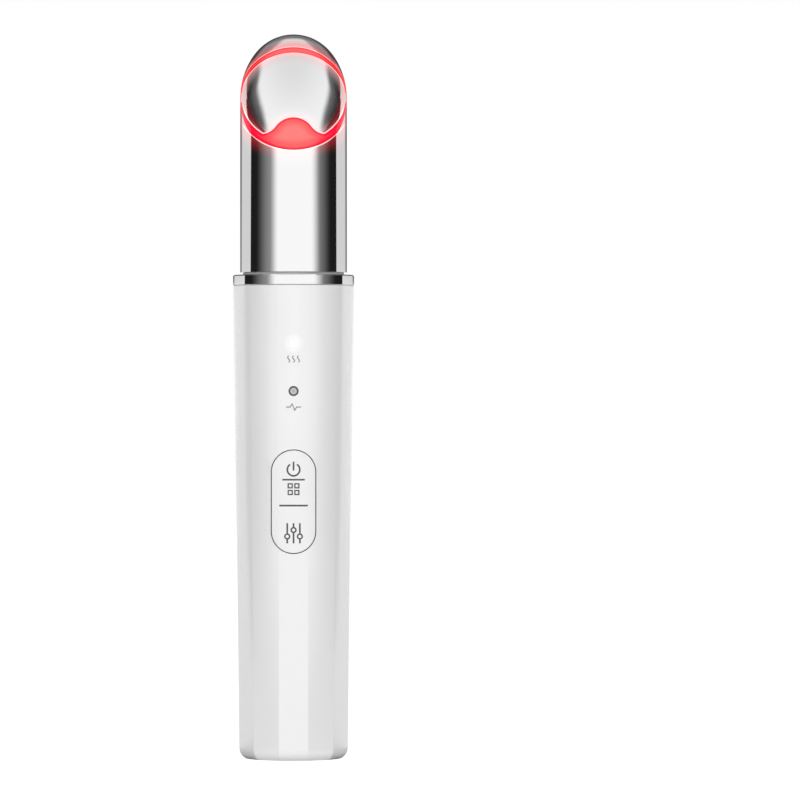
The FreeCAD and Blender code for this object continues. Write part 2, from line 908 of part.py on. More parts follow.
posts = [
    rod_back(f"{word}_post", s.post_radius, pad_inner_face, plunger_front - s.press_travel, 0.0, z)
    for word, z in switch_places
]
pad_solid = fuse(
    "pad_solid", pad_plate, *posts, pad_lug("left_lug", -s.lug_offset), pad_lug("right_lug", s.lug_offset)
)
eye_radius = s.pivot_radius + s.pivot_clearance
pad_eye = rod_across("pad_eye", eye_radius, s.ear_offset, pivot_y, pad_centre)
keep("button_pad", cut("button_pad_body", pad_solid, pad_eye))

ear_outer = s.ear_offset + s.ear_width
keep(
    "rocker_pin",
    rod_across("rocker_pin_rod", s.pivot_radius, ear_outer, pivot_y, pad_centre),
)
bracket_low = pad_centre - s.ear_half_height
bracket_high = pad_centre + s.ear_half_height
bracket_base = block(
    "bracket_base",
    (-ear_outer, board_front - s.bracket_plate, bracket_low),
    (ear_outer, board_front, bracket_high),
)
ears = [
    block(
        f"bracket_ear_{word}",
        (low, -s.pad_back + s.ear_gap, bracket_low),
        (high, board_front, bracket_high),
    )
    for word, low, high in (("left", -ear_outer, -s.ear_offset), ("right", s.ear_offset, ear_outer))
]
pin_way = rod_across("pin_way", s.pivot_radius, ear_outer, pivot_y, pad_centre)
keep("rocker_bracket", cut("bracket_body", fuse("bracket_solid", bracket_base, *ears), pin_way))

# ---------------------------------------------------------------- collar and spigot
skirt_radius = cavity_top_radius - s.skirt_gap
collar_low = s.housing_height
edge = s.collar_edge_break
keep(
    "collar_ring",
    turned_body(
        "collar",
        [
            (s.spigot_stem_radius, collar_low - s.skirt_depth),
            (skirt_radius - s.skirt_gap, collar_low - s.skirt_depth),
            (skirt_radius - s.skirt_gap, collar_low),
            (s.housing_top_radius - edge, collar_low),
            (s.housing_top_radius, collar_low + edge),
            (s.housing_top_radius, collar_top - edge),
            (s.housing_top_radius - edge, collar_top),
            (s.spigot_stem_radius, collar_top),
        ],
    ),
)
seal_low = tube_base + s.ring_seal_height - s.ring_groove_half_height
seal_high = tube_base + s.ring_seal_height + s.ring_groove_half_height
seal_floor = tube_bore - s.ring_seal_section * 2
spigot_turned = turned_body(
    "spigot",
    [
        (s.spigot_bore, flange_top),
        (s.spigot_stem_radius, flange_top),
        (s.spigot_stem_radius, collar_top),
        (s.neck_radius, collar_top),
        (s.neck_radius, tube_base),
        (spigot_radius, tube_base),
        (spigot_radius, seal_low),
        (seal_floor, seal_low),
        (seal_floor, seal_high),
        (spigot_radius, seal_high),
        (spigot_radius, spigot_top),
        (s.spigot_bore, spigot_top),
    ],
)
keep(
    "head_spigot",
    cut("spigot_body_drilled", spigot_turned, *ring_of("spigot_way", spigot_shank, screw_count, 180.0)),
)
seal = doc.addObject("Part::Torus", "ring_seal")
bind(seal, Radius1=tube_bore - s.ring_seal_section, Radius2=s.ring_seal_section)
place(seal, 0.0, 0.0, tube_base + s.ring_seal_height)
keep("head_seal", seal)

# ---------------------------------------------------------------- head: tube, light guide, plate
crown_outside = crown("crown_outside", 0.0)
crown_under_guide = crown("crown_under_guide", s.guide_thickness)
crown_under_skirt = crown("crown_under_skirt", s.guide_thickness + s.guide_depth)
crown_over_plate = crown("crown_over_plate", -s.plate_rise)
crown_under_plate = crown("crown_under_plate", s.plate_thickness - s.plate_rise)
crown_under_heater = crown("crown_under_heater", s.plate_thickness - s.plate_rise + s.heater_thickness)

head_reach = face_front - tube_base + chord_half * 2


def round_end(name, inset):
    """The tube closed by half an ellipsoid, made smaller by an inset."""
    straight = rod(f"{name}_straight", s.tube_radius - inset, dome_base - tube_base, 0.0, 0.0, tube_base)
    dome = doc.addObject("Part::Ellipsoid", f"{name}_dome")
    bind(dome, Radius1=s.dome_height - inset, Radius2=s.tube_radius - inset, Radius3=s.tube_radius - inset)
    dome.Angle1 = 0.0
    place(dome, 0.0, 0.0, dome_base)
    return fuse(name, straight, dome)


def head_form(name, crown_skin):
    """The closed head under a crown, rounded where the crown ends."""
    sharp = common(f"{name}_sharp", round_end(f"{name}_round", 0.0), crown_skin)
    doc.recompute()
    form = doc.addObject("Part::Fillet", name)
    form.Base = sharp
    crown_edges = [
        number
        for number, item in enumerate(sharp.Shape.Edges, start=1)
        if item.BoundBox.ZMin > face_front.value - SEAM_LEAST and item.BoundBox.ZLength > SEAM_LEAST
    ]
    form.Edges = [(number, SIZES["face_edge_round"], SIZES["face_edge_round"]) for number in crown_edges]
    doc.recompute()
    return form


head_blank = head_form("head_blank", crown_outside)

tube_hollow = common("tube_hollow", round_end("tube_bore_round", s.tube_wall), crown_under_guide)
guide_prism = face_egg(
    "guide_prism",
    s.guide_half_width,
    s.guide_upper_length,
    s.guide_lower_length,
    s.guide_side_up,
    s.guide_side_down,
)
guide_recess = cut("guide_recess", guide_prism, crown_under_guide)
keep("head_tube", cut("head_tube_shell", head_blank, tube_hollow, guide_recess))

# The plate's lower edge is a wave: a hump in the middle between two round lobes.
lobe_centre = s.wave_low + s.wave_lobe_radius
lobe_rise = lobe_centre - s.wave_top
hump_radius = (
    s.wave_lobe_offset * s.wave_lobe_offset + lobe_rise * lobe_rise - s.wave_lobe_radius * s.wave_lobe_radius
) / ((s.wave_lobe_radius - lobe_rise) * 2)
hump_centre = s.wave_top - hump_radius
share = hump_radius / (hump_radius + s.wave_lobe_radius)
wave_turn = hump_centre + (lobe_centre - hump_centre) * share
wave_band = face_block("wave_band", (-reach, -reach, -reach), (reach, wave_turn, reach))
wave_hump = face_rod("wave_hump", hump_radius, 0.0, hump_centre, -reach, reach)
wave_lobes = [
    face_rod(f"wave_lobe_{word}", s.wave_lobe_radius, x, lobe_centre, -reach, reach)
    for word, x in (("left", -s.wave_lobe_offset), ("right", s.wave_lobe_offset))
]
wave_cutter = cut("wave_cutter", fuse("wave_solid", wave_band, wave_hump), *wave_lobes)
plate_egg = face_egg(
    "plate_egg",
    s.plate_half_width,
    s.plate_upper_length,
    s.plate_lower_length,
    s.plate_side_up,
    s.plate_side_down,
)
plate_prism = cut("plate_prism", plate_egg, wave_cutter)
plate_form = head_form("plate_form", crown_over_plate)
keep(
    "contact_plate",
    cut("plate_body", common("plate_solid", plate_prism, plate_form), crown_under_plate),
)

# The guide's flange covers the end of the tube's wall, and its skirt fits the bore.
guide_layer = cut("guide_layer", common("guide_cap", guide_prism, head_blank), crown_under_skirt)
skirt_rod = rod("guide_skirt_rod", spigot_radius, head_reach, 0.0, 0.0, tube_base)
wall_zone = cut("guide_wall_zone", crown_under_guide, skirt_rod)
window_prism = face_oval("window_prism", s.window_half_width, s.window_half_length, s.window_centre)
plate_seat = cut("plate_seat", plate_prism, crown_under_plate)
keep(
    "light_guide",
    cut("light_guide_body", guide_layer, wall_zone, plate_seat, window_prism),
)

# Behind the plate: heater film, temperature sensor, spring contact.
heater_prism = face_oval("heater_prism", s.heater_half_width, s.heater_half_length, s.window_centre)
keep(
    "heater_film",
    cut("heater_body", common("heater_solid", heater_prism, crown_under_plate), crown_under_heater),
)
sensor_reach = s.sensor_radius * 3
sensor_rod = face_rod("sensor_rod", s.sensor_radius, 0.0, s.window_centre, -sensor_reach, sensor_reach)
crown_under_sensor = crown(
    "crown_under_sensor", s.plate_thickness - s.plate_rise + s.heater_thickness + s.sensor_radius
)
keep(
    "heat_sensor",
    cut("sensor_body", common("sensor_solid", sensor_rod, crown_under_heater), crown_under_sensor),
)
lamp_board_top = -s.lamp_board_depth
lamp_board_low = lamp_board_top - s.lamp_board_thickness
contact_rod = face_rod("contact_rod", s.contact_radius, 0.0, s.contact_place, lamp_board_top, Size.of(reach))
keep("spring_contact", common("contact_body", contact_rod, crown_under_plate))

# The lamp board is square to the face's chord and fills the tube.
inner_rod = rod("lamp_board_rod", tube_bore - s.lamp_board_gap, head_reach, 0.0, 0.0, tube_base)
board_slab = face_block("lamp_board_slab", (-reach, -reach, lamp_board_low), (reach, reach, lamp_board_top))
keep("lamp_board", common("lamp_board_body", inner_rod, board_slab, crown_under_skirt))
lamps = []
lamp_count = int(SIZES["lamp_count"])
lamp_half = s.lamp_width / 2
for number in range(lamp_count):
    turn = 2 * math.pi * (number + 0.5) / lamp_count
    x = s.lamp_ring_radius * math.cos(turn)
    y = s.lamp_ring_radius * math.sin(turn)
    along = (s.tube_radius + y + lamp_board_top * slope_sin) / slope_cos
    lamps.append(
        face_block(
            f"lamp_{number + 1}",
            (x - lamp_half, along - lamp_half, lamp_board_top),
            (x + lamp_half, along + lamp_half, lamp_board_top + s.lamp_height),
        )
    )
keep("red_lamps", group("lamp_set", lamps))
reflector_radius = tube_bore - s.lamp_board_gap
reflector_outer = rod("reflector_outside", reflector_radius, head_reach, 0.0, 0.0, tube_base)
reflector_inner = rod(
    "reflector_inside", reflector_radius - s.reflector_wall, head_reach, 0.0, 0.0, tube_base
)
reflector_wall = cut("reflector_tube", reflector_outer, reflector_inner)
above_board = face_block("above_board", (-reach, -reach, lamp_board_top), (reach, reach, reach))
keep(
    "reflector_ring",
    common("reflector_body", reflector_wall, above_board, crown_under_skirt),
)

# The ribbon runs straight up from the back of the main board to the lamp board.
ribbon_half = s.ribbon_width / 2
ribbon_strip = block(
    "ribbon_strip",
    (-ribbon_half, board_back, board_top - s.board_screw_margin),
    (ribbon_half, board_back + s.ribbon_thickness, face_front + s.tube_radius),
)
under_board_top = face_block("ribbon_end", (-reach, -reach, lamp_board_low), (reach, reach * 3, reach))
keep("head_ribbon", cut("ribbon_body", ribbon_strip, under_board_top))

# ---------------------------------------------------------------- checks and files
doc.recompute()
faults = []
for item in doc.Objects:
    if "Invalid" in item.State or "Error" in item.State:
        faults.append(f"{item.Name}: {item.State}")
for item in sub_parts:
    if item.Shape.isNull() or not item.Shape.isValid() or not item.Shape.Solids:
        faults.append(f"{item.Label}: no valid solid")
if faults:
    raise RuntimeError("; ".join(faults))

os.makedirs("parts", exist_ok=True)
for item in sub_parts:
    item.Shape.exportStep(f"parts/{item.Label}.step")
    box = item.Shape.BoundBox
    print(
        f"{item.Label}: {len(item.Shape.Solids)} solid(s), {item.Shape.Volume:.1f} mm3, "
        f"z {box.ZMin:.2f} to {box.ZMax:.2f}"
    )
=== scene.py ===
"""Looks of a hand-held eye wand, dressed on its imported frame.

Lengths are metres. +Z runs up along the wand, -Y faces the user, and the origin is the
middle of the foot.
"""

import logging
import math
from dataclasses import dataclass
from enum import Enum
from typing import Optional, Sequence, Union

import bpy
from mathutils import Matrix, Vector


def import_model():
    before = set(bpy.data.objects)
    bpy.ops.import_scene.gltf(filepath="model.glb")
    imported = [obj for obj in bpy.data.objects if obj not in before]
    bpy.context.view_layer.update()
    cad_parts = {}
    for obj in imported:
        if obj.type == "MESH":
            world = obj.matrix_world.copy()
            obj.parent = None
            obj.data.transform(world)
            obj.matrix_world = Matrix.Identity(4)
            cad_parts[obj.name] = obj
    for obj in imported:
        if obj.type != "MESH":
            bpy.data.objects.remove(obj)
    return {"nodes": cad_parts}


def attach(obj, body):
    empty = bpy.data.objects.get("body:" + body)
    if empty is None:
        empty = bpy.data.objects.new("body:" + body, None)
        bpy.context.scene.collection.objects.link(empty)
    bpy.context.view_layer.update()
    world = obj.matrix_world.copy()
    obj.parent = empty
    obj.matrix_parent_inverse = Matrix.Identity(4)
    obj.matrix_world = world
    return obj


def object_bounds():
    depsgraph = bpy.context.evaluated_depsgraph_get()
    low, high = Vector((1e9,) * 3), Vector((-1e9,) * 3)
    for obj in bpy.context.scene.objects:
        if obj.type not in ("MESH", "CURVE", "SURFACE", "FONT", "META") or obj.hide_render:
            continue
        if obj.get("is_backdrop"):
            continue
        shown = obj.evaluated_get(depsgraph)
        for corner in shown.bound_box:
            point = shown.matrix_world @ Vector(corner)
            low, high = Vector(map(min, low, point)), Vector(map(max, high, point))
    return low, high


MM = 0.001
Colour = tuple[float, float, float]
Triple = tuple[float, float, float]
Point = tuple[float, float]
Span = tuple[float, float]
Feed = Union["Signal", float, int, tuple]

BLACK = (0.0, 0.0, 0.0)
WHITE = (1.0, 1.0, 1.0)
EVEN = (1.0, 1.0, 1.0)
MIDDLE = 0.5
WELD = 1e-6
DEGREES = 180.0 / math.pi
FULL_TURN = 360.0
# Sockets of a Mix node that mixes colours, by number, because several share one name.
MIX_SHARE, MIX_FIRST, MIX_SECOND, MIX_RESULT = 0, 6, 7, 2
LIT_WINDOW_HEIGHT = 94.15 * MM
GREY_WINDOW_HEIGHT = 83.45 * MM

log = logging.getLogger("eye_wand")


# ---------------------------------------------------------------- shader graph
class Signal:
    """The output of a shader node, which takes Python arithmetic."""

    def __init__(self, graph: "Graph", socket: bpy.types.NodeSocket) -> None:
        """Wraps one output.

        Args:
            graph: The graph that the node belongs to.
            socket: The output socket.
        """
        self.graph = graph
        self.socket = socket

    def apply(self, operation: str, *feeds: Feed) -> "Signal":
        """Adds one Math node.

        Args:
            operation: The name of the Math node's operation.
            *feeds: Its inputs, in order.

        Returns:
            The node's output.
        """
        return self.graph.add("ShaderNodeMath", {"operation": operation}, dict(enumerate(feeds)))

    def __add__(self, other: Feed) -> "Signal":
        """Adds a number or a signal."""
        return self.apply("ADD", self, other)

    def __sub__(self, other: Feed) -> "Signal":
        """Subtracts a number or a signal."""
        return self.apply("SUBTRACT", self, other)

    def __rsub__(self, other: Feed) -> "Signal":
        """Is subtracted from a number."""
        return self.apply("SUBTRACT", other, self)

    def __mul__(self, other: Feed) -> "Signal":
        """Multiplies by a number or a signal."""
        return self.apply("MULTIPLY", self, other)

    def __truediv__(self, other: Feed) -> "Signal":
        """Divides by a number or a signal."""
        return self.apply("DIVIDE", self, other)

    __radd__ = __add__
    __rmul__ = __mul__

    def root(self) -> "Signal":
        """Gives the square root."""
        return self.apply("SQRT", self)

    def size(self) -> "Signal":
        """Gives the value without its sign."""
        return self.apply("ABSOLUTE", self)

    def least(self, other: Feed) -> "Signal":
        """Gives the lower of two values."""
        return self.apply("MINIMUM", self, other)

    def most(self, other: Feed) -> "Signal":
        """Gives the higher of two values."""
        return self.apply("MAXIMUM", self, other)

    def rise(self, start: float, end: float) -> "Signal":
        """Climbs smoothly from 0 at start to 1 at end.

        Args:
            start: The value where the climb starts.
            end: The value where the climb ends.

        Returns:
            The climb, held between 0 and 1.
        """
        feeds = {"Value": self, "From Min": start, "From Max": end}
        return self.graph.add("ShaderNodeMapRange", {"interpolation_type": "SMOOTHSTEP"}, feeds)

    def fall(self, start: float, end: float) -> "Signal":
        """Drops smoothly from 1 at start to 0 at end."""
        return 1.0 - self.rise(start, end)


class Graph:
    """The node tree of one material or world."""

    def __init__(self, tree: bpy.types.NodeTree) -> None:
        """Clears a node tree and takes it over.

        Args:
            tree: The tree to build in.
        """
        self.tree = tree
        self.tree.nodes.clear()

    def add(
        self,
        kind: str,
        settings: Optional[dict] = None,
        feeds: Optional[dict] = None,
        output: Union[int, str] = 0,
    ) -> Optional[Signal]:
        """Adds a node, sets it up and feeds it.

        Args:
            kind: The node's type.
            settings: Properties to set first, by name.
            feeds: Values or signals for its inputs, by name or number.
            output: The name or number of the output that is wanted.

        Returns:
            That output, or None from a node that has no output.
        """
        node = self.tree.nodes.new(kind)
        for name, value in (settings or {}).items():
            setattr(node, name, value)
        for name, feed in (feeds or {}).items():
            if isinstance(feed, Signal):
                self.tree.links.new(feed.socket, node.inputs[name])
            else:
                node.inputs[name].default_value = feed
        sockets = node.outputs
        return Signal(self, sockets[output]) if len(sockets) else None

    def place(self) -> Signal:
        """Gives the place of the shaded point in the wand's frame."""
        return self.add("ShaderNodeTexCoord", output="Object")

    def axes(self) -> tuple[Signal, Signal, Signal]:
        """Gives the three coordinates of the shaded point."""
        split = self.add("ShaderNodeSeparateXYZ", feeds={"Vector": self.place()})
        return tuple(Signal(self, socket) for socket in split.socket.node.outputs)

    def noise(self, grain: float, detail: float = 2.0, stretch: Triple = EVEN) -> Signal:
        """Adds a noise field in the wand's frame.

        Args:
            grain: The size of its features in metres.
            detail: Its octaves.
            stretch: How much longer a feature is along each axis.

        Returns:
            The field, about 0.5 in the middle.
        """
        scale = tuple(1.0 / (grain * share) for share in stretch)
        spread = self.add("ShaderNodeMapping", feeds={"Vector": self.place(), "Scale": scale})
        return self.add("ShaderNodeTexNoise", feeds={"Vector": spread, "Scale": 1.0, "Detail": detail})

    def blend(self, share: Feed, first: Feed, second: Feed) -> Signal:
        """Mixes two colours.

        Args:
            share: How much of the second is taken.
            first: The first colour.
            second: The second colour.

        Returns:
            The mixed colour.
        """
        feeds = {MIX_SHARE: share, MIX_FIRST: opaque(first), MIX_SECOND: opaque(second)}
        return self.add("ShaderNodeMix", {"data_type": "RGBA"}, feeds, MIX_RESULT)

    def relief(self, height: Signal, depth: float) -> Signal:
        """Turns a height field into a normal.

        Args:
            height: The field, from 0 to 1.
            depth: The height of its full range, in metres.

        Returns:
            The normal.
        """
        return self.add("ShaderNodeBump", feeds={"Height": height, "Distance": depth, "Strength": 1.0})

    def close(self, shader: Signal, kind: str = "ShaderNodeOutputMaterial") -> None:
        """Links a shader to the output."""
        self.add(kind, feeds={"Surface": shader})


def opaque(colour: Feed) -> Feed:
    """Gives a colour its fourth number, and leaves a signal as it is."""
    return colour if isinstance(colour, Signal) else (*colour, 1.0)


# ---------------------------------------------------------------- the slanted face, as the finishes see it
@dataclass(frozen=True)
class Egg:
    """Two half ovals that meet where they are widest, in the plane of the slanted face."""

    half_width: float
    upper_length: float
    lower_length: float
    widest: float = 15.7 * MM

    def outside(self, across: Signal, up: Signal) -> Signal:
        """Gives the distance outwards from the egg's edge, less than 0 inside it.

        Args:
            across: The place across the face.
            up: The place up the slope.

        Returns:
            The distance, true close to the edge.
        """
        rise = up - self.widest
        is_upper = rise.apply("GREATER_THAN", rise, 0.0)
        length = is_upper * (self.upper_length - self.lower_length) + self.lower_length
        wide = across / self.half_width
        tall = rise / length
        reach = (wide * wide + tall * tall).root()
        steep_wide = wide / self.half_width
        steep_tall = tall / length
        steep = (steep_wide * steep_wide + steep_tall * steep_tall).root()
        return (reach - 1.0) * reach / steep


@dataclass(frozen=True)
class Wave:
    """The plate's lower edge: a hump in the middle between two round lobes."""

    top: float = 6.76 * MM
    low: float = 3.42 * MM
    lobe_offset: float = 6.4 * MM
    lobe_radius: float = 2.85 * MM

    def outside(self, across: Signal, up: Signal) -> Signal:
        """Gives the distance outwards from the wave, less than 0 on the plate."""
        lobe_centre = self.low + self.lobe_radius
        lobe_rise = lobe_centre - self.top
        reach = self.lobe_offset**2 + lobe_rise**2 - self.lobe_radius**2
        hump_radius = reach / (2.0 * (self.lobe_radius - lobe_rise))
        hump_centre = self.top - hump_radius
        share = hump_radius / (hump_radius + self.lobe_radius)
        turn = hump_centre + (lobe_centre - hump_centre) * share
        from_hump = up - hump_centre
        from_lobe = up - lobe_centre
        beside = across.size() - self.lobe_offset
        below = (turn - up).most(hump_radius - (across * across + from_hump * from_hump).root())
        return below.least((beside * beside + from_lobe * from_lobe).root() - self.lobe_radius)


@dataclass(frozen=True)
class FaceMap:
    """Where the light guide and the plate lie on the slanted face."""

    tube_radius: float = 12.1 * MM
    front_height: float = 138.9 * MM
    slope: float = math.radians(50.0)
    guide: Egg = Egg(12.55 * MM, 12.6 * MM, 16.6 * MM)
    plate: Egg = Egg(11.8 * MM, 10.5 * MM, 15.1 * MM)
    wave: Wave = Wave()
    high_start: float = 11.0 * MM
    high_end: float = 18.0 * MM
    length_radius: float = 65.0 * MM
    cross_radius: float = 24.0 * MM

    def along(self, graph: Graph) -> Signal:
        """Gives the distance up the slope from the face's lowest point."""
        _, y, z = graph.axes()
        behind = y + self.tube_radius
        return behind * math.cos(self.slope) + (z - self.front_height) * math.sin(self.slope)

    def below(self, graph: Graph) -> Signal:
        """Gives the depth under the crowned face, square to its slope."""
        across, y, z = graph.axes()
        half = self.tube_radius / math.cos(self.slope)
        rise = self.along(graph) - half
        drop = math.sqrt(self.length_radius**2 - half**2)
        lengthwise = (self.length_radius**2 - rise * rise).root() - drop
        crosswise = self.cross_radius - (self.cross_radius**2 - across * across).root()
        behind = y + self.tube_radius
        outwards = (z - self.front_height) * math.cos(self.slope) - behind * math.sin(self.slope)
        return lengthwise - crosswise - outwards

    def high(self, graph: Graph) -> Signal:
        """Gives 0 on the lower part of the face and 1 on its upper part."""
        return self.along(graph).rise(self.high_start, self.high_end)

    def outside_guide(self, graph: Graph) -> Signal:
        """Gives the distance outwards from the light guide's outer edge."""
        return self.guide.outside(graph.axes()[0], self.along(graph))

    def outside_plate(self, graph: Graph) -> Signal:
        """Gives the distance outwards from the plate's edge, with its wave."""
        across = graph.axes()[0]
        up = self.along(graph)
        return self.plate.outside(across, up).most(self.wave.outside(across, up))


FACE = FaceMap()


# ---------------------------------------------------------------- finishes
@dataclass(frozen=True)
class Finish:
    """A surface finish that makes one material."""

    name: str

    def dress(self, graph: Graph) -> None:
        """Builds the nodes; each finish has its own."""
        raise NotImplementedError

    def material(self) -> bpy.types.Material:
        """Makes the material.

        Returns:
            The new material, named after the finish.
        """
        material = bpy.data.materials.new(self.name)
        material.use_nodes = True
        self.dress(Graph(material.node_tree))
        return material


@dataclass(frozen=True)
class Grained(Finish):
    """A solid stuff with a cloudy tone, an uneven gloss and a fine grain."""

    tone: Colour
    second_tone: Colour
    roughness: float
    roughness_spread: float = 0.03
    cloud: float = 9.0 * MM
    grain: float = 0.35 * MM
    grain_depth: float = 0.001 * MM
    stretch: Triple = EVEN
    metal: float = 0.0
    coat: float = 0.0
    coat_roughness: float = 0.08
    index: float = 1.5
    cloud_detail: float = 3.0
    cloud_start: float = 0.3
    cloud_end: float = 0.7

    def body_tone(self, graph: Graph, cloud: Signal) -> Signal:
        """Gives the colour, which follows the cloud."""
        return graph.blend(cloud.rise(self.cloud_start, self.cloud_end), self.tone, self.second_tone)

    def light(self, graph: Graph) -> dict[str, Feed]:
        """Gives the inputs that make the surface glow; a plain one has none."""
        return {}

    def dress(self, graph: Graph) -> None:
        """Builds tone, gloss and grain."""
        cloud = graph.noise(self.cloud, self.cloud_detail, self.stretch)
        grain = graph.noise(self.grain, stretch=self.stretch)
        feeds = {
            "Base Color": self.body_tone(graph, cloud),
            "Roughness": (cloud - MIDDLE) * (2.0 * self.roughness_spread) + self.roughness,
            "Metallic": self.metal,
            "Coat Weight": self.coat,
            "Coat Roughness": self.coat_roughness,
            "IOR": self.index,
            "Normal": graph.relief(grain, self.grain_depth),
            **self.light(graph),
        }
        graph.close(graph.add("ShaderNodeBsdfPrincipled", feeds=feeds))


@dataclass(frozen=True)
class Shell(Grained):
    """A white moulding whose inside is painted dark, as painted shade in its hollows."""

    # Painted shade on the surfaces that lie deeper than the skin.
    inside: Colour = (0.02, 0.02, 0.02)
    foot_radius: float = 12.3 * MM
    top_radius: float = 13.75 * MM
    height: float = 107.3 * MM
    skin: float = 0.3 * MM
    skin_edge: float = 0.1 * MM
    foot_round: float = 3.2 * MM
    halo_height: float = LIT_WINDOW_HEIGHT
    halo_start: float = 1.1 * MM
    halo_end: float = 2.6 * MM
    halo_level: float = 0.0

    def body_tone(self, graph: Graph, cloud: Signal) -> Signal:
        """Gives the colour, with painted shade wherever the surface lies deeper than the skin."""
        x, y, z = graph.axes()
        outer = z * ((self.top_radius - self.foot_radius) / self.height) + self.foot_radius
        depth = outer - (x * x + y * y).root()
        deep = depth.rise(self.skin - self.skin_edge, self.skin + self.skin_edge)
        above_foot = z.apply("GREATER_THAN", z, self.foot_round)
        # Painted shade on the deep surfaces, though not on the rounded foot.
        return graph.blend(deep * above_foot, super().body_tone(graph, cloud), self.inside)

    def light(self, graph: Graph) -> dict[str, Feed]:
        """Gives the painted halo of the lit window on the moulding round it, if it has a level."""
        if not self.halo_level:
            return super().light(graph)
        x, y, z = graph.axes()
        rise = z - self.halo_height
        halo = (x * x + rise * rise).root().fall(self.halo_start, self.halo_end)
        halo = halo * y.apply("LESS_THAN", y, 0.0) * self.halo_level
        # Painted glow of the window on the housing.
        glow = graph.blend(halo, BLACK, WHITE)
        return {"Emission Color": glow, "Emission Strength": 1.0}


@dataclass(frozen=True)
class Plated(Finish):
    """Mirror plating with the light of the guide beside it painted on: a red spill, a pinkish tint and
    edge highlights.
    """

    tone: Colour
    roughness: float
    smear_spread: float = 0.03
    smear_size: float = 4.0 * MM
    smear_detail: float = 3.0
    smear_stretch: Triple = (1.0, 1.0, 2.5)
    glow: Colour = (1.0, 0.03, 0.05)
    # Base colours of the painted red light near the guide, low and high on the face.
    low_painted_red_light: Colour = (1.0, 0.96, 0.96)
    high_painted_red_light: Colour = (1.0, 0.5, 0.5)
    painted_red_light_reach: float = 4.0 * MM
    glow_reach: float = 2.4 * MM
    glow_level: float = 0.26
    # Colour and reach of the painted highlight along the guide's edges.
    edge_highlight_colour: Colour = (1.0, 0.93, 0.93)
    edge_start: float = 0.08 * MM
    edge_end: float = 0.26 * MM
    edge_level: float = 0.9
    edge_high_level: float = 0.85
    edge_middle_level: float = 1.0
    edge_middle_start: float = 3.0 * MM
    edge_middle_end: float = 7.0 * MM
    edge_side_start: float = 10.8 * MM
    edge_side_end: float = 12.1 * MM
    edge_taper: float = 2.5
    bevel_start: float = 2.8 * MM
    bevel_end: float = 3.4 * MM
    spill_end: float = 5.0 * MM

    def edge_light(self, graph: Graph, gap: Signal) -> Signal:
        """Gives the brightness of the painted highlight on the bevel beside the guide.

        Args:
            graph: The graph.
            gap: The distance from the guide's edge.

        Returns:
            The brightness, strongest below and lower on top, in the middle and at the sides.
        """
        beside = graph.axes()[0].size()
        low = FACE.along(graph).fall(FACE.guide.widest, FACE.guide.widest + FACE.guide.upper_length)
        low = low * (self.edge_level - self.edge_high_level) + self.edge_high_level
        middle = beside.rise(self.edge_middle_start, self.edge_middle_end)
        middle = middle * (1.0 - self.edge_middle_level) + self.edge_middle_level
        side = beside.fall(self.edge_side_start, self.edge_side_end)
        taper = beside.rise(self.edge_middle_end, self.edge_side_end) * self.edge_taper + 1.0
        return (gap * taper).fall(self.edge_start, self.edge_end) * low * middle * side

    def dress(self, graph: Graph) -> None:
        """Builds plating, smears, and painted light: the edge highlight, the red spill and the pinkish
        tint near the guide.
        """
        smear = graph.noise(self.smear_size, self.smear_detail, self.smear_stretch)
        gap = FACE.outside_guide(graph).size().least(FACE.outside_plate(graph).size())
        below = FACE.below(graph)
        lit = below.fall(self.bevel_start, self.spill_end)
        near = gap.fall(0.0, self.glow_reach)
        # Painted red glow of the guide on the chrome.
        spill = near * near * lit * self.glow_level
        # Painted highlight along the bevel beside the guide.
        edge = self.edge_light(graph, gap) * below.fall(self.bevel_start, self.bevel_end)
        painted_red_light = graph.blend(FACE.high(graph), self.low_painted_red_light, self.high_painted_red_light)
        light = graph.blend(edge, self.glow, self.edge_highlight_colour)
        light = graph.blend(spill.most(edge), BLACK, light)
        feeds = {
            # The base colour turns pinkish near the guide as painted red light.
            "Base Color": graph.blend(gap.fall(0.0, self.painted_red_light_reach) * lit, self.tone, painted_red_light),
            "Roughness": (smear - MIDDLE) * self.smear_spread + self.roughness,
            "Metallic": 1.0,
            "Emission Color": light,
            "Emission Strength": 1.0,
        }
        graph.close(graph.add("ShaderNodeBsdfPrincipled", feeds=feeds))


@dataclass(frozen=True)
class Glowing(Finish):
    """The translucent guide: deep red along its edges, paler where it is wide."""

    body: Colour = (0.25, 0.0, 0.005)
    rim: Colour = (1.0, 0.006, 0.02)
    shallow: Colour = (1.0, 0.1, 0.1)
    deep: Colour = (1.0, 0.205, 0.19)
    low_flank: Colour = (0.98, 0.006, 0.075)
    high_flank: Colour = (1.0, 0.03, 0.02)
    rim_width: float = 0.28 * MM
    shallow_depth: float = 0.5 * MM
    deep_depth: float = 2.6 * MM
    flank_start: float = 3.0 * MM
    flank_end: float = 10.0 * MM
    ripple_size: float = 2.5 * MM
    ripple_level: float = 0.12
    core_level: float = 0.95
    roughness: float = 0.12
    roughness_spread: float = 0.04

    def dress(self, graph: Graph) -> None:
        """Builds the glow from the distances to both edges of the guide."""
        inwards = 0.0 - FACE.outside_guide(graph)
        depth = inwards.least(FACE.outside_plate(graph))
        core = depth.rise(self.rim_width, self.shallow_depth)
        side = graph.axes()[0].size().rise(self.flank_start, self.flank_end)
        ripple = graph.noise(self.ripple_size) - MIDDLE
        middle = graph.blend(depth.rise(self.shallow_depth, self.deep_depth), self.shallow, self.deep)
        middle = graph.blend(side, middle, graph.blend(FACE.high(graph), self.low_flank, self.high_flank))
        share = core * (ripple * self.ripple_level + self.core_level)
        feeds = {
            "Base Color": opaque(self.body),
            "Roughness": ripple * self.roughness_spread + self.roughness,
            "Emission Color": graph.blend(share, self.rim, middle),
            "Emission Strength": 1.0,
        }
        graph.close(graph.add("ShaderNodeBsdfPrincipled", feeds=feeds))


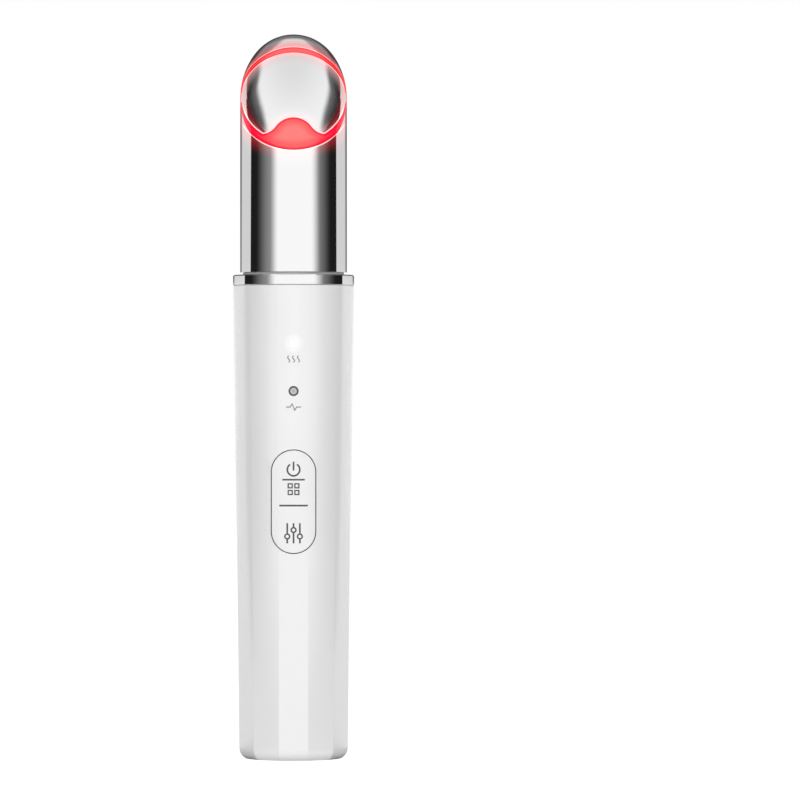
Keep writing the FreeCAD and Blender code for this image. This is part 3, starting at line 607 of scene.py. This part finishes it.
@dataclass(frozen=True)
class Window(Finish):
    """A small round light window, its rim darker than its middle."""

    height: float
    middle: Colour
    ring: Colour
    radius: float = 1.15 * MM
    ring_start: float = 0.55
    ring_end: float = 0.72
    core_start: float = 0.1
    core_end: float = 0.4
    core_level: float = 0.35
    glow_level: float = 0.0
    frost_size: float = 0.3 * MM
    frost_depth: float = 0.002 * MM
    roughness: float = 0.25
    roughness_spread: float = 0.1

    def dress(self, graph: Graph) -> None:
        """Builds rings about the window's own centre."""
        x, _, z = graph.axes()
        rise = z - self.height
        reach = (x * x + rise * rise).root()
        ring = reach.rise(self.radius * self.ring_start, self.radius * self.ring_end)
        core = reach.fall(self.radius * self.core_start, self.radius * self.core_end)
        tone = graph.blend(ring, self.middle, self.ring)
        tone = graph.blend(core * self.core_level, tone, self.ring)
        frost = graph.noise(self.frost_size)
        feeds = {
            "Base Color": tone,
            "Roughness": (frost - MIDDLE) * self.roughness_spread + self.roughness,
            "Emission Color": tone,
            "Emission Strength": self.glow_level,
            "Normal": graph.relief(frost, self.frost_depth),
        }
        graph.close(graph.add("ShaderNodeBsdfPrincipled", feeds=feeds))


@dataclass(frozen=True)
class Tracked(Finish):
    """A board or film with copper tracks under its cover."""

    ground: Colour
    track: Colour
    pitch: float = 1.2 * MM
    roughness: float = 0.4
    track_roughness: float = -0.1
    track_depth: float = 0.02 * MM
    inner_edge: Span = (0.28, 0.32)
    outer_edge: Span = (0.42, 0.46)

    def dress(self, graph: Graph) -> None:
        """Builds rectangular track fields over the ground."""
        scale = (1.0 / self.pitch,) * 3
        spread = graph.add("ShaderNodeMapping", feeds={"Vector": graph.place(), "Scale": scale})
        settings = {"distance": "CHEBYCHEV", "feature": "F1"}
        cells = graph.add("ShaderNodeTexVoronoi", settings, {"Vector": spread, "Scale": 1.0})
        tracks = cells.rise(*self.inner_edge) * cells.fall(*self.outer_edge)
        feeds = {
            "Base Color": graph.blend(tracks, self.ground, self.track),
            "Roughness": tracks * self.track_roughness + self.roughness,
            "Normal": graph.relief(tracks, self.track_depth),
        }
        graph.close(graph.add("ShaderNodeBsdfPrincipled", feeds=feeds))


STEEL_STRETCH = (1.0, 1.0, 12.0)
WHITE_TONES = ((0.87, 0.87, 0.872), (0.855, 0.855, 0.858))
CHROME_TONE = (0.93, 0.93, 0.935)
FINISHES: tuple[Finish, ...] = (
    Shell("white_gloss", *WHITE_TONES, 0.2, cloud=30.0 * MM, coat=1.0, halo_level=0.08),
    Shell("pad_white", *WHITE_TONES, 0.3, cloud=12.0 * MM, coat=0.1),
    Plated("bright_chrome", CHROME_TONE, 0.05),
    Plated(
        "plate_chrome",
        CHROME_TONE,
        0.07,
        high_painted_red_light=(1.0, 0.78, 0.78),
        edge_middle_level=0.1,
        edge_taper=0.0,
    ),
    Glowing("red_guide"),
    # The lit window's darker ring is painted shade of its rim.
    Window(
        "lens_lit",
        LIT_WINDOW_HEIGHT,
        (0.95, 0.95, 0.95),
        (0.74, 0.74, 0.74),
        ring_start=0.78,
        ring_end=0.95,
        core_level=0.0,
        glow_level=0.12,
    ),
    Window("lens_grey", GREY_WINDOW_HEIGHT, (0.52, 0.52, 0.52), (0.08, 0.08, 0.08)),
    Grained("spigot_plastic", (0.35, 0.35, 0.36), (0.31, 0.31, 0.32), 0.5),
    Grained("seal_rubber", (0.05, 0.05, 0.05), (0.08, 0.08, 0.08), 0.7),
    Grained(
        "screw_steel",
        (0.6, 0.6, 0.6),
        (0.5, 0.5, 0.5),
        0.3,
        cloud=1.0 * MM,
        stretch=STEEL_STRETCH,
        metal=1.0,
    ),
    Grained("bracket_steel", (0.65, 0.65, 0.66), (0.55, 0.55, 0.56), 0.3, cloud=1.0 * MM, metal=1.0),
    Grained("socket_steel", (0.7, 0.7, 0.71), (0.6, 0.6, 0.61), 0.25, cloud=1.5 * MM, metal=1.0),
    Grained("frame_plastic", (0.16, 0.16, 0.17), (0.12, 0.12, 0.13), 0.55),
    Tracked("circuit_board", (0.01, 0.045, 0.02), (0.02, 0.1, 0.045)),
    Grained("chip_black", (0.05, 0.05, 0.05), (0.03, 0.03, 0.03), 0.5, cloud=1.0 * MM),
    Grained("switch_black", (0.08, 0.08, 0.08), (0.05, 0.05, 0.05), 0.4, cloud=2.0 * MM),
    Grained("cell_wrap", (0.1, 0.3, 0.65), (0.08, 0.25, 0.55), 0.3, cloud=6.0 * MM, coat=0.5),
    Grained(
        "foam", (0.25, 0.25, 0.25), (0.18, 0.18, 0.18), 0.95, grain=0.25 * MM, grain_depth=0.08 * MM
    ),
    Grained("lamp_white", (0.95, 0.95, 0.85), (0.9, 0.85, 0.6), 0.3, cloud=1.0 * MM),
    Grained("lamp_red", (0.8, 0.1, 0.1), (0.7, 0.05, 0.05), 0.3, cloud=1.0 * MM),
    Grained("reflector_white", (0.85, 0.85, 0.85), (0.8, 0.8, 0.8), 0.6),
    Tracked("heater_amber", (0.55, 0.22, 0.03), (0.75, 0.42, 0.12), pitch=0.8 * MM),
    Grained("contact_gold", (0.8, 0.6, 0.25), (0.7, 0.5, 0.18), 0.25, cloud=1.0 * MM, metal=1.0),
    Grained("print_dark", (0.09, 0.09, 0.09), (0.07, 0.07, 0.07), 0.5, cloud=1.0 * MM),
    Grained("print_grey", (0.27, 0.27, 0.27), (0.23, 0.23, 0.23), 0.5, cloud=1.0 * MM),
)


class Cabinet:
    """Keeps one material for each finish."""

    def __init__(self, finishes: Sequence[Finish]) -> None:
        """Starts with no material made."""
        self.finishes = {finish.name: finish for finish in finishes}
        self.made: dict[str, bpy.types.Material] = {}

    def take(self, name: str) -> bpy.types.Material:
        """Gives a finish's material and makes it the first time."""
        if name not in self.made:
            self.made[name] = self.finishes[name].material()
        return self.made[name]


# ---------------------------------------------------------------- shared tools of the sub-assemblies
class Body(Enum):
    """The moving bodies of the wand."""

    WAND = "wand"
    PAD = "pad"


def deselect() -> None:
    """Leaves edit mode and deselects every object."""
    if bpy.context.object and bpy.context.object.mode != "OBJECT":
        bpy.ops.object.mode_set(mode="OBJECT")
    bpy.ops.object.select_all(action="DESELECT")


def choose(*items: bpy.types.Object) -> None:
    """Selects these objects alone and makes the first one active."""
    deselect()
    for item in items:
        item.select_set(True)
    bpy.context.view_layer.objects.active = items[0]


class SubAssembly:
    """A group of frame nodes and new pieces that belong together."""

    def __init__(self, nodes: dict[str, bpy.types.Object], cabinet: Cabinet) -> None:
        """Keeps what the sub-assembly works with.

        Args:
            nodes: The frame's nodes by name.
            cabinet: The materials.
        """
        self.nodes = nodes
        self.cabinet = cabinet

    def coat(self, item: bpy.types.Object, finish: str) -> None:
        """Gives an object one finish all over."""
        item.data.materials.clear()
        item.data.materials.append(self.cabinet.take(finish))

    def dress(self, finishes: dict[str, str]) -> None:
        """Dresses frame nodes.

        Args:
            finishes: The finish of each node, by node name.
        """
        for node, finish in finishes.items():
            self.coat(self.nodes[node], finish)
            log.info("%s dressed in %s", node, finish)

    def add_piece(self, item: bpy.types.Object, name: str, finish: str, body: Body) -> bpy.types.Object:
        """Names, dresses and hangs a new piece on its body.

        Args:
            item: The new object.
            name: Its name.
            finish: Its finish.
            body: The body that it moves with.

        Returns:
            The same object.
        """
        item.name = name
        item.data.name = name
        self.coat(item, finish)
        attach(item, body.value)
        log.info("%s made, %d faces", name, len(item.data.polygons))
        return item


@dataclass(frozen=True)
class Stroke:
    """One printed stroke: its line across and up, in metres, and its width."""

    line: tuple[Point, ...]
    width: float
    step: float = 0.25 * MM
    corner_least: float = 0.5

    def points(self) -> list[Vector]:
        """Gives the line with points no further apart than the step."""
        corners = [Vector(point) for point in self.line]
        points = [corners[0]]
        for start, end in zip(corners, corners[1:]):
            count = max(1, math.ceil((end - start).length / self.step))
            points += [start.lerp(end, number / count) for number in range(1, count + 1)]
        return points

    def closed(self) -> bool:
        """Tells whether the line ends where it starts."""
        return (Vector(self.line[0]) - Vector(self.line[-1])).length < WELD

    def edges(self) -> list[tuple[Vector, Vector]]:
        """Gives the left and right edge of the stroke at each of its points."""
        points = self.points()
        runs = [(end - start).normalized() for start, end in zip(points, points[1:])]
        before = [runs[-1] if self.closed() else runs[0]] + runs
        after = runs + [runs[0] if self.closed() else runs[-1]]
        pairs = []
        for point, first, second in zip(points, before, after):
            heading = (first + second).normalized()
            side = Vector((-heading.y, heading.x)) * (self.width / 2.0)
            side /= max(heading.dot(first), self.corner_least)
            pairs.append((point + side, point - side))
        return pairs


def arc(centre: Point, radius: float, start: float, end: float, count: int = 40) -> tuple[Point, ...]:
    """Gives points of an arc.

    Args:
        centre: Its centre, across and up.
        radius: Its radius.
        start: The angle of its first point, in degrees from straight up, clockwise.
        end: The angle of its last point.
        count: The number of its runs.

    Returns:
        The points.
    """
    points = []
    for number in range(count + 1):
        angle = math.radians(start + (end - start) * number / count)
        points.append((centre[0] + radius * math.sin(angle), centre[1] + radius * math.cos(angle)))
    return tuple(points)


@dataclass(frozen=True)
class Press:
    """Prints strokes on a surface of the wand's front."""

    surface: bpy.types.Object
    front: float = -20.0 * MM
    ink_height: float = 0.03 * MM

    def strip(self, stroke: Stroke) -> bpy.types.Object:
        """Makes one stroke as a strip of faces in front of the wand."""
        edges = stroke.edges()
        runs = len(edges) - 1
        deselect()
        bpy.ops.mesh.primitive_grid_add(x_subdivisions=runs, y_subdivisions=1, size=1.0)
        item = bpy.context.object
        for vertex in item.data.vertices:
            left, right = edges[round((vertex.co.x + MIDDLE) * runs)]
            spot = left if vertex.co.y > 0.0 else right
            vertex.co = (spot.x, self.front, spot.y)
        bpy.ops.object.mode_set(mode="EDIT")
        bpy.ops.mesh.select_all(action="SELECT")
        if stroke.closed():
            bpy.ops.mesh.remove_doubles(threshold=WELD)
        bpy.ops.object.mode_set(mode="OBJECT")
        return item

    def lay(self, strokes: Sequence[Stroke]) -> bpy.types.Object:
        """Prints a set of strokes as one piece.

        Args:
            strokes: The strokes.

        Returns:
            The piece, laid on the surface.
        """
        strips = [self.strip(stroke) for stroke in strokes]
        choose(*strips)
        if len(strips) > 1:
            bpy.ops.object.join()
        piece = bpy.context.object
        bpy.ops.object.modifier_add(type="SHRINKWRAP")
        wrap = piece.modifiers[-1]
        wrap.target = self.surface
        wrap.wrap_method = "PROJECT"
        wrap.use_project_y = True
        bpy.ops.object.modifier_apply(modifier=wrap.name)
        bpy.ops.object.modifier_add(type="SOLIDIFY")
        layer = piece.modifiers[-1]
        layer.thickness = 2.0 * self.ink_height
        layer.offset = 0.0
        bpy.ops.object.modifier_apply(modifier=layer.name)
        bpy.ops.object.mode_set(mode="EDIT")
        bpy.ops.mesh.select_all(action="SELECT")
        bpy.ops.mesh.normals_make_consistent(inside=False)
        bpy.ops.object.mode_set(mode="OBJECT")
        return piece


# ---------------------------------------------------------------- sub-assemblies
@dataclass(frozen=True)
class HousingSizes:
    """Places and sizes of the prints under the two light windows.

    The beat's points are shares of the sign's width and height.
    """

    heat_height: float = 90.65 * MM
    pulse_height: float = 79.85 * MM
    sign_height: float = 1.5 * MM
    heat_pitch: float = 1.1 * MM
    heat_swing: float = 0.22 * MM
    heat_runs: int = 24
    pulse_width: float = 3.4 * MM
    pulse_beat: tuple[Point, ...] = (
        (-0.5, 0.0),
        (-0.22, 0.0),
        (-0.1, 0.5),
        (0.08, -0.5),
        (0.2, 0.0),
        (0.5, 0.0),
    )
    line_width: float = 0.24 * MM


class Housing(SubAssembly):
    """The white housing with its foot, light windows and their signs."""

    sizes = HousingSizes()

    def heat_sign(self) -> list[Stroke]:
        """Gives three rising waves."""
        size = self.sizes
        strokes = []
        for column in (-1, 0, 1):
            line = []
            for number in range(size.heat_runs + 1):
                share = number / size.heat_runs
                across = column * size.heat_pitch + size.heat_swing * math.sin(2.0 * math.pi * share)
                line.append((across, size.heat_height + (share - MIDDLE) * size.sign_height))
            strokes.append(Stroke(tuple(line), size.line_width))
        return strokes

    def pulse_sign(self) -> list[Stroke]:
        """Gives a flat line with one sharp beat."""
        size = self.sizes
        line = tuple(
            (across * size.pulse_width, size.pulse_height + up * size.sign_height)
            for across, up in size.pulse_beat
        )
        return [Stroke(line, size.line_width)]

    def build(self) -> None:
        """Dresses the nodes and prints the signs."""
        self.dress(
            {
                "housing": "white_gloss",
                "bottom_cap": "white_gloss",
                "bottom_gasket": "seal_rubber",
                "cap_screws": "screw_steel",
                "charging_socket": "socket_steel",
                "port_board": "circuit_board",
                "upper_indicator_lens": "lens_lit",
                "lower_indicator_lens": "lens_grey",
            }
        )
        press = Press(self.nodes["housing"])
        self.add_piece(press.lay(self.heat_sign()), "heat_sign", "print_grey", Body.WAND)
        self.add_piece(press.lay(self.pulse_sign()), "pulse_sign", "print_grey", Body.WAND)


@dataclass(frozen=True)
class PadSizes:
    """Places and sizes of the prints on the pad."""

    power_height: float = 65.78 * MM
    power_radius: float = 1.4 * MM
    power_gap: float = 33.0
    power_bar_low: float = 65.58 * MM
    power_bar_high: float = 67.58 * MM
    upper_line_height: float = 63.51 * MM
    upper_line_half: float = 2.52 * MM
    grid_height: float = 61.38 * MM
    grid_pitch: float = 1.5 * MM
    grid_side: float = 0.9 * MM
    grid_line_width: float = 0.29 * MM
    lower_line_height: float = 57.68 * MM
    lower_line_half: float = 3.2 * MM
    slider_pitch: float = 1.42 * MM
    slider_low: float = 49.18 * MM
    slider_high: float = 53.73 * MM
    slider_knobs: tuple[float, ...] = (50.73 * MM, 52.18 * MM, 50.73 * MM)
    knob_radius: float = 0.53 * MM
    knob_line_width: float = 0.34 * MM
    knob_runs: int = 24
    line_width: float = 0.38 * MM


class RockerPad(SubAssembly):
    """The rocking pad with its prints and what carries it."""

    sizes = PadSizes()

    def power_sign(self) -> list[Stroke]:
        """Gives an open ring with a bar in its gap."""
        size = self.sizes
        ring = arc((0.0, size.power_height), size.power_radius, size.power_gap, FULL_TURN - size.power_gap)
        bar = ((0.0, size.power_bar_low), (0.0, size.power_bar_high))
        return [Stroke(ring, size.line_width), Stroke(bar, size.line_width)]

    def mode_sign(self) -> list[Stroke]:
        """Gives four small squares."""
        size = self.sizes
        half = size.grid_side / 2.0
        offset = size.grid_pitch / 2.0
        strokes = []
        for x in (-offset, offset):
            for z in (size.grid_height - offset, size.grid_height + offset):
                west, east, low, high = x - half, x + half, z - half, z + half
                square = ((west, low), (east, low), (east, high), (west, high), (west, low))
                strokes.append(Stroke(square, size.grid_line_width))
        return strokes

    def divider(self, height: float, half: float) -> list[Stroke]:
        """Gives a level line."""
        return [Stroke(((-half, height), (half, height)), self.sizes.line_width)]

    def slider_sign(self) -> list[Stroke]:
        """Gives three upright lines, each with a ring on it."""
        size = self.sizes
        strokes = []
        for column, knob in zip((-1, 0, 1), size.slider_knobs):
            x = column * size.slider_pitch
            ring = arc((x, knob), size.knob_radius, 0.0, FULL_TURN, size.knob_runs)
            strokes.append(Stroke(ring, size.knob_line_width))
            strokes.append(Stroke(((x, size.slider_low), (x, knob - size.knob_radius)), size.line_width))
            strokes.append(Stroke(((x, knob + size.knob_radius), (x, size.slider_high)), size.line_width))
        return strokes

    def build(self) -> None:
        """Dresses the nodes and prints the signs."""
        self.dress(
            {
                "button_pad": "pad_white",
                "rocker_pin": "screw_steel",
                "rocker_bracket": "bracket_steel",
                "press_switches": "switch_black",
            }
        )
        size = self.sizes
        press = Press(self.nodes["button_pad"])
        signs = {
            "power_sign": self.power_sign(),
            "upper_divider": self.divider(size.upper_line_height, size.upper_line_half),
            "mode_sign": self.mode_sign(),
            "lower_divider": self.divider(size.lower_line_height, size.lower_line_half),
            "slider_sign": self.slider_sign(),
        }
        for name, strokes in signs.items():
            self.add_piece(press.lay(strokes), name, "print_dark", Body.PAD)


class Head(SubAssembly):
    """The chrome head with its collar, light guide, plate and what is behind them."""

    def build(self) -> None:
        """Dresses the nodes."""
        self.dress(
            {
                "collar_ring": "bright_chrome",
                "head_spigot": "spigot_plastic",
                "head_seal": "seal_rubber",
                "head_tube": "bright_chrome",
                "contact_plate": "plate_chrome",
                "light_guide": "red_guide",
                "heater_film": "heater_amber",
                "heat_sensor": "chip_black",
                "spring_contact": "contact_gold",
                "lamp_board": "circuit_board",
                "red_lamps": "lamp_red",
                "reflector_ring": "reflector_white",
                "head_ribbon": "heater_amber",
            }
        )


class Core(SubAssembly):
    """What is closed in the housing: frame, cell, boards and screws."""

    def build(self) -> None:
        """Dresses the nodes."""
        self.dress(
            {
                "inner_frame": "frame_plastic",
                "spigot_screws": "screw_steel",
                "battery_cell": "cell_wrap",
                "cell_pad": "foam",
                "main_board": "circuit_board",
                "board_screws": "screw_steel",
                "board_chips": "chip_black",
                "indicator_lamps": "lamp_white",
            }
        )


# ---------------------------------------------------------------- studio
@dataclass(frozen=True)
class Lamp:
    """A soft square lamp that looks at the wand."""

    name: str
    place: Triple
    side: float
    power: float


@dataclass(frozen=True)
class Fade:
    """A soft fall of a level over degrees or over shares of the tent's radius.

    It climbs instead where its start lies past its end.
    """

    level: float
    start: float
    end: float

    def over(self, place: Signal) -> Signal:
        """Gives the level at an angle or at a share of the radius."""
        return place.fall(self.start, self.end) * self.level


@dataclass(frozen=True)
class StudioSizes:
    """Camera, lamps, floor and the tent that mirror surfaces show.

    Turns and climbs are degrees, and other places on the tent are shares of its radius.
    """

    eye_height: float = 81.55 * MM
    eye_distance: float = 1280.0 * MM
    tilt: float = math.radians(90.0)
    pan: float = math.radians(-1.083)
    lens: float = 253.4
    far_end: float = 100.0
    aim_height: float = 90.0 * MM
    floor_side: float = 12.0
    floor_height: float = -0.02 * MM
    floor_glow: float = 0.9
    floor_front: Fade = Fade(0.8, 32.0, 62.0)
    floor_rear: Fade = Fade(0.8, 112.0, 104.0)
    floor_least: float = 0.12
    floor_tones: tuple[Colour, Colour] = ((0.62, 0.62, 0.62), (0.64, 0.64, 0.64))
    floor_weave: float = 40.0 * MM
    world_level: float = 0.17
    tent_radius: float = 6.0
    tent_height: float = 120.0 * MM
    tent_segments: int = 64
    tent_rings: int = 32
    left_fades: tuple[Fade, Fade] = (Fade(0.73, 32.0, 54.0), Fade(0.26, 47.0, 90.0))
    right_fades: tuple[Fade, Fade] = (Fade(0.79, 37.0, 62.0), Fade(0.20, 50.0, 90.0))
    wall_start: float = 15.0
    wall_end: float = 45.0
    dark_level: float = 0.012
    rear_start: float = 0.302
    rear_lean: float = 0.36
    rear_edge: float = 0.012
    rear_fade: Fade = Fade(0.6, 148.0, 164.0)
    rear_closing: float = 0.6
    rear_least: float = 0.05
    rear_foot: Fade = Fade(1.0, 0.98, 1.1)
    roof_start: float = 46.0
    roof_end: float = 56.0
    strip_half: float = 0.495
    strip_narrowings: tuple[Fade, ...] = (
        Fade(0.05, -0.45, -0.1),
        Fade(0.075, 0.1, -0.09),
        Fade(0.305, 0.3, 0.1),
    )
    strip_fades: tuple[Fade, Fade] = (Fade(0.85, -0.05, 0.03), Fade(0.15, 0.0, 0.14))
    strip_least: float = 0.77
    strip_fade: Fade = Fade(0.18, 53.0, 87.0)
    beside_level: float = 0.3
    beside_start: float = 0.0
    beside_end: float = 0.16
    back_level: float = 0.17
    back_start: float = 0.262
    back_end: float = 0.292


def turn_from_front(across: Signal, back: Signal) -> Signal:
    """Gives the degrees from straight in front, alike to both sides."""
    return across.apply("ARCTAN2", across.size(), 0.0 - back) * DEGREES


class TentMap:
    """The level of the tent in each direction from its middle."""

    def __init__(self, graph: Graph, sizes: StudioSizes) -> None:
        """Works out the directions that the levels follow.

        Args:
            graph: The graph of the tent's material.
            sizes: The studio's sizes.
        """
        self.sizes = sizes
        self.across, self.back, self.up = (part / sizes.tent_radius for part in graph.axes())
        self.turn = turn_from_front(self.across, self.back)
        self.climb = self.up.apply("ARCSINE", self.up) * DEGREES

    def front(self) -> Signal:
        """Gives the level of the walls in front, which fades towards each side by its own measure."""
        size = self.sizes
        is_right = self.across.apply("GREATER_THAN", self.across, 0.0)
        low = self.climb.fall(size.wall_start, size.wall_end)
        left, right = (
            near.over(self.turn) + far.over(self.turn) * low
            for near, far in (size.left_fades, size.right_fades)
        )
        return left * (1.0 - is_right) + right * is_right

    def rear(self) -> Signal:
        """Gives the level of the wall behind, whose edge leans forwards as it climbs."""
        size = self.sizes
        edge = (self.back + self.up * size.rear_lean).rise(
            size.rear_start - size.rear_edge, size.rear_start + size.rear_edge
        )
        level = size.rear_fade.over(self.turn + self.climb * size.rear_closing) + size.rear_least
        return edge * level.most(size.rear_foot.over(self.climb))

    def roof(self) -> Signal:
        """Gives the level overhead: a bright strip, with darker fields beside it and behind it."""
        size = self.sizes
        narrowing = sum(fade.over(self.back) for fade in size.strip_narrowings)
        past = self.across.size() + narrowing - size.strip_half
        near, far = (fade.over(past) for fade in size.strip_fades)
        inside = near + far
        beside = self.back.rise(size.beside_start, size.beside_end) * size.beside_level + size.dark_level
        strip = inside * (size.strip_fade.over(self.climb) + size.strip_least) + (1.0 - inside) * beside
        behind = self.back.rise(size.back_start, size.back_end)
        return strip * (1.0 - behind) + behind * size.back_level

    def level(self) -> Signal:
        """Gives the level of the whole tent, which turns from walls to roof as it climbs."""
        size = self.sizes
        wall = self.front() + self.rear() + size.dark_level
        overhead = self.climb.rise(size.roof_start, size.roof_end)
        return wall * (1.0 - overhead) + self.roof() * overhead


class Studio:
    """Floor, tent, lamps, world and camera."""

    sizes = StudioSizes()
    lamps = (
        Lamp("front_lamp", place=(0.0, -3.0, 0.5), side=1.2, power=80.5),
        Lamp("left_lamp", place=(-2.15, 2.1, 0.3), side=1.0, power=72.0),
        Lamp("right_lamp", place=(2.15, 2.1, 0.3), side=1.0, power=78.0),
    )

    @staticmethod
    def furnish(item: bpy.types.Object, name: str) -> Graph:
        """Names a thing of the studio and gives it a material of its own.

        Args:
            item: The thing, which is no part of the wand.
            name: Its name.

        Returns:
            The empty graph of its material.
        """
        item.name = name
        material = bpy.data.materials.new(name)
        material.use_nodes = True
        item.data.materials.append(material)
        item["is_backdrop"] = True
        return Graph(material.node_tree)

    def floor(self) -> None:
        """Lays a pale floor that the camera sees as white and mirrors see banded, as the tent is."""
        size = self.sizes
        deselect()
        bpy.ops.mesh.primitive_plane_add(size=size.floor_side, location=(0.0, 0.0, size.floor_height))
        graph = self.furnish(bpy.context.object, "floor")
        seen = graph.add("ShaderNodeLightPath", output="Is Camera Ray") * size.floor_glow
        mirrored = graph.add("ShaderNodeLightPath", output="Is Glossy Ray")
        feeds = {
            "Base Color": graph.blend(graph.noise(size.floor_weave), *size.floor_tones),
            "Roughness": 1.0,
            "Specular IOR Level": 0.0,
        }
        paper = graph.add("ShaderNodeBsdfPrincipled", feeds=feeds)
        light = graph.add("ShaderNodeEmission", feeds={"Strength": seen})
        pale = graph.add("ShaderNodeAddShader", feeds={0: paper, 1: light})
        across, back, _ = graph.axes()
        turn = turn_from_front(across, back)
        level = size.floor_front.over(turn) + size.floor_rear.over(turn) + size.floor_least
        banded = graph.add("ShaderNodeEmission", feeds={"Strength": level})
        graph.close(graph.add("ShaderNodeMixShader", feeds={0: mirrored, 1: pale, 2: banded}))

    def tent(self) -> None:
        """Hangs a tent round the wand that only mirror surfaces show."""
        size = self.sizes
        deselect()
        bpy.ops.mesh.primitive_uv_sphere_add(
            segments=size.tent_segments,
            ring_count=size.tent_rings,
            radius=size.tent_radius,
            location=(0.0, 0.0, size.tent_height),
        )
        item = bpy.context.object
        graph = self.furnish(item, "tent")
        graph.close(graph.add("ShaderNodeEmission", feeds={"Strength": TentMap(graph, size).level()}))
        item.active_material.cycles.emission_sampling = "NONE"
        item.visible_camera = False
        item.visible_diffuse = False
        item.visible_shadow = False
        item.visible_transmission = False

    def light(self) -> None:
        """Sets the lamps and the pale surroundings."""
        aim = Vector((0.0, 0.0, self.sizes.aim_height))
        for lamp in self.lamps:
            data = bpy.data.lights.new(lamp.name, "AREA")
            data.size = lamp.side
            data.energy = lamp.power
            item = bpy.data.objects.new(lamp.name, data)
            item.location = lamp.place
            item.rotation_euler = (aim - item.location).to_track_quat("-Z", "Y").to_euler()
            item.visible_glossy = False
            bpy.context.scene.collection.objects.link(item)
        world = bpy.data.worlds.new("studio")
        world.use_nodes = True
        bpy.context.scene.world = world
        graph = Graph(world.node_tree)
        seen = graph.add("ShaderNodeLightPath", output="Is Camera Ray")
        level = seen * (1.0 - self.sizes.world_level) + self.sizes.world_level
        sky = graph.add("ShaderNodeBackground", feeds={"Color": opaque(WHITE), "Strength": level})
        graph.close(sky, "ShaderNodeOutputWorld")

    def camera(self) -> None:
        """Sets the camera straight in front of the wand, turned a little to its right."""
        size = self.sizes
        data = bpy.data.cameras.new("camera")
        data.lens = size.lens
        data.clip_end = size.far_end
        item = bpy.data.objects.new("camera", data)
        item.location = (0.0, -size.eye_distance, size.eye_height)
        item.rotation_euler = (size.tilt, 0.0, size.pan)
        bpy.context.scene.collection.objects.link(item)
        bpy.context.scene.camera = item

    def build(self) -> None:
        """Builds the studio."""
        self.floor()
        self.tent()
        self.light()
        self.camera()
        bpy.context.scene.view_settings.view_transform = "Standard"
        log.info("studio built")


def corners(box: Sequence) -> list[list[float]]:
    """Gives a box as plain lists of numbers."""
    return [[float(number) for number in corner] for corner in box]


def main() -> None:
    """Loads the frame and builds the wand's looks."""
    logging.basicConfig(level=logging.INFO, format="%(name)s: %(message)s")
    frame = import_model()
    frame_box = corners(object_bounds())
    cabinet = Cabinet(FINISHES)
    for kind in (Housing, RockerPad, Head, Core):
        kind(frame["nodes"], cabinet).build()
    Studio().build()
    deselect()
    {"frame": frame_box, "visual": corners(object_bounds())}


if __name__ == "__main__":
    main()
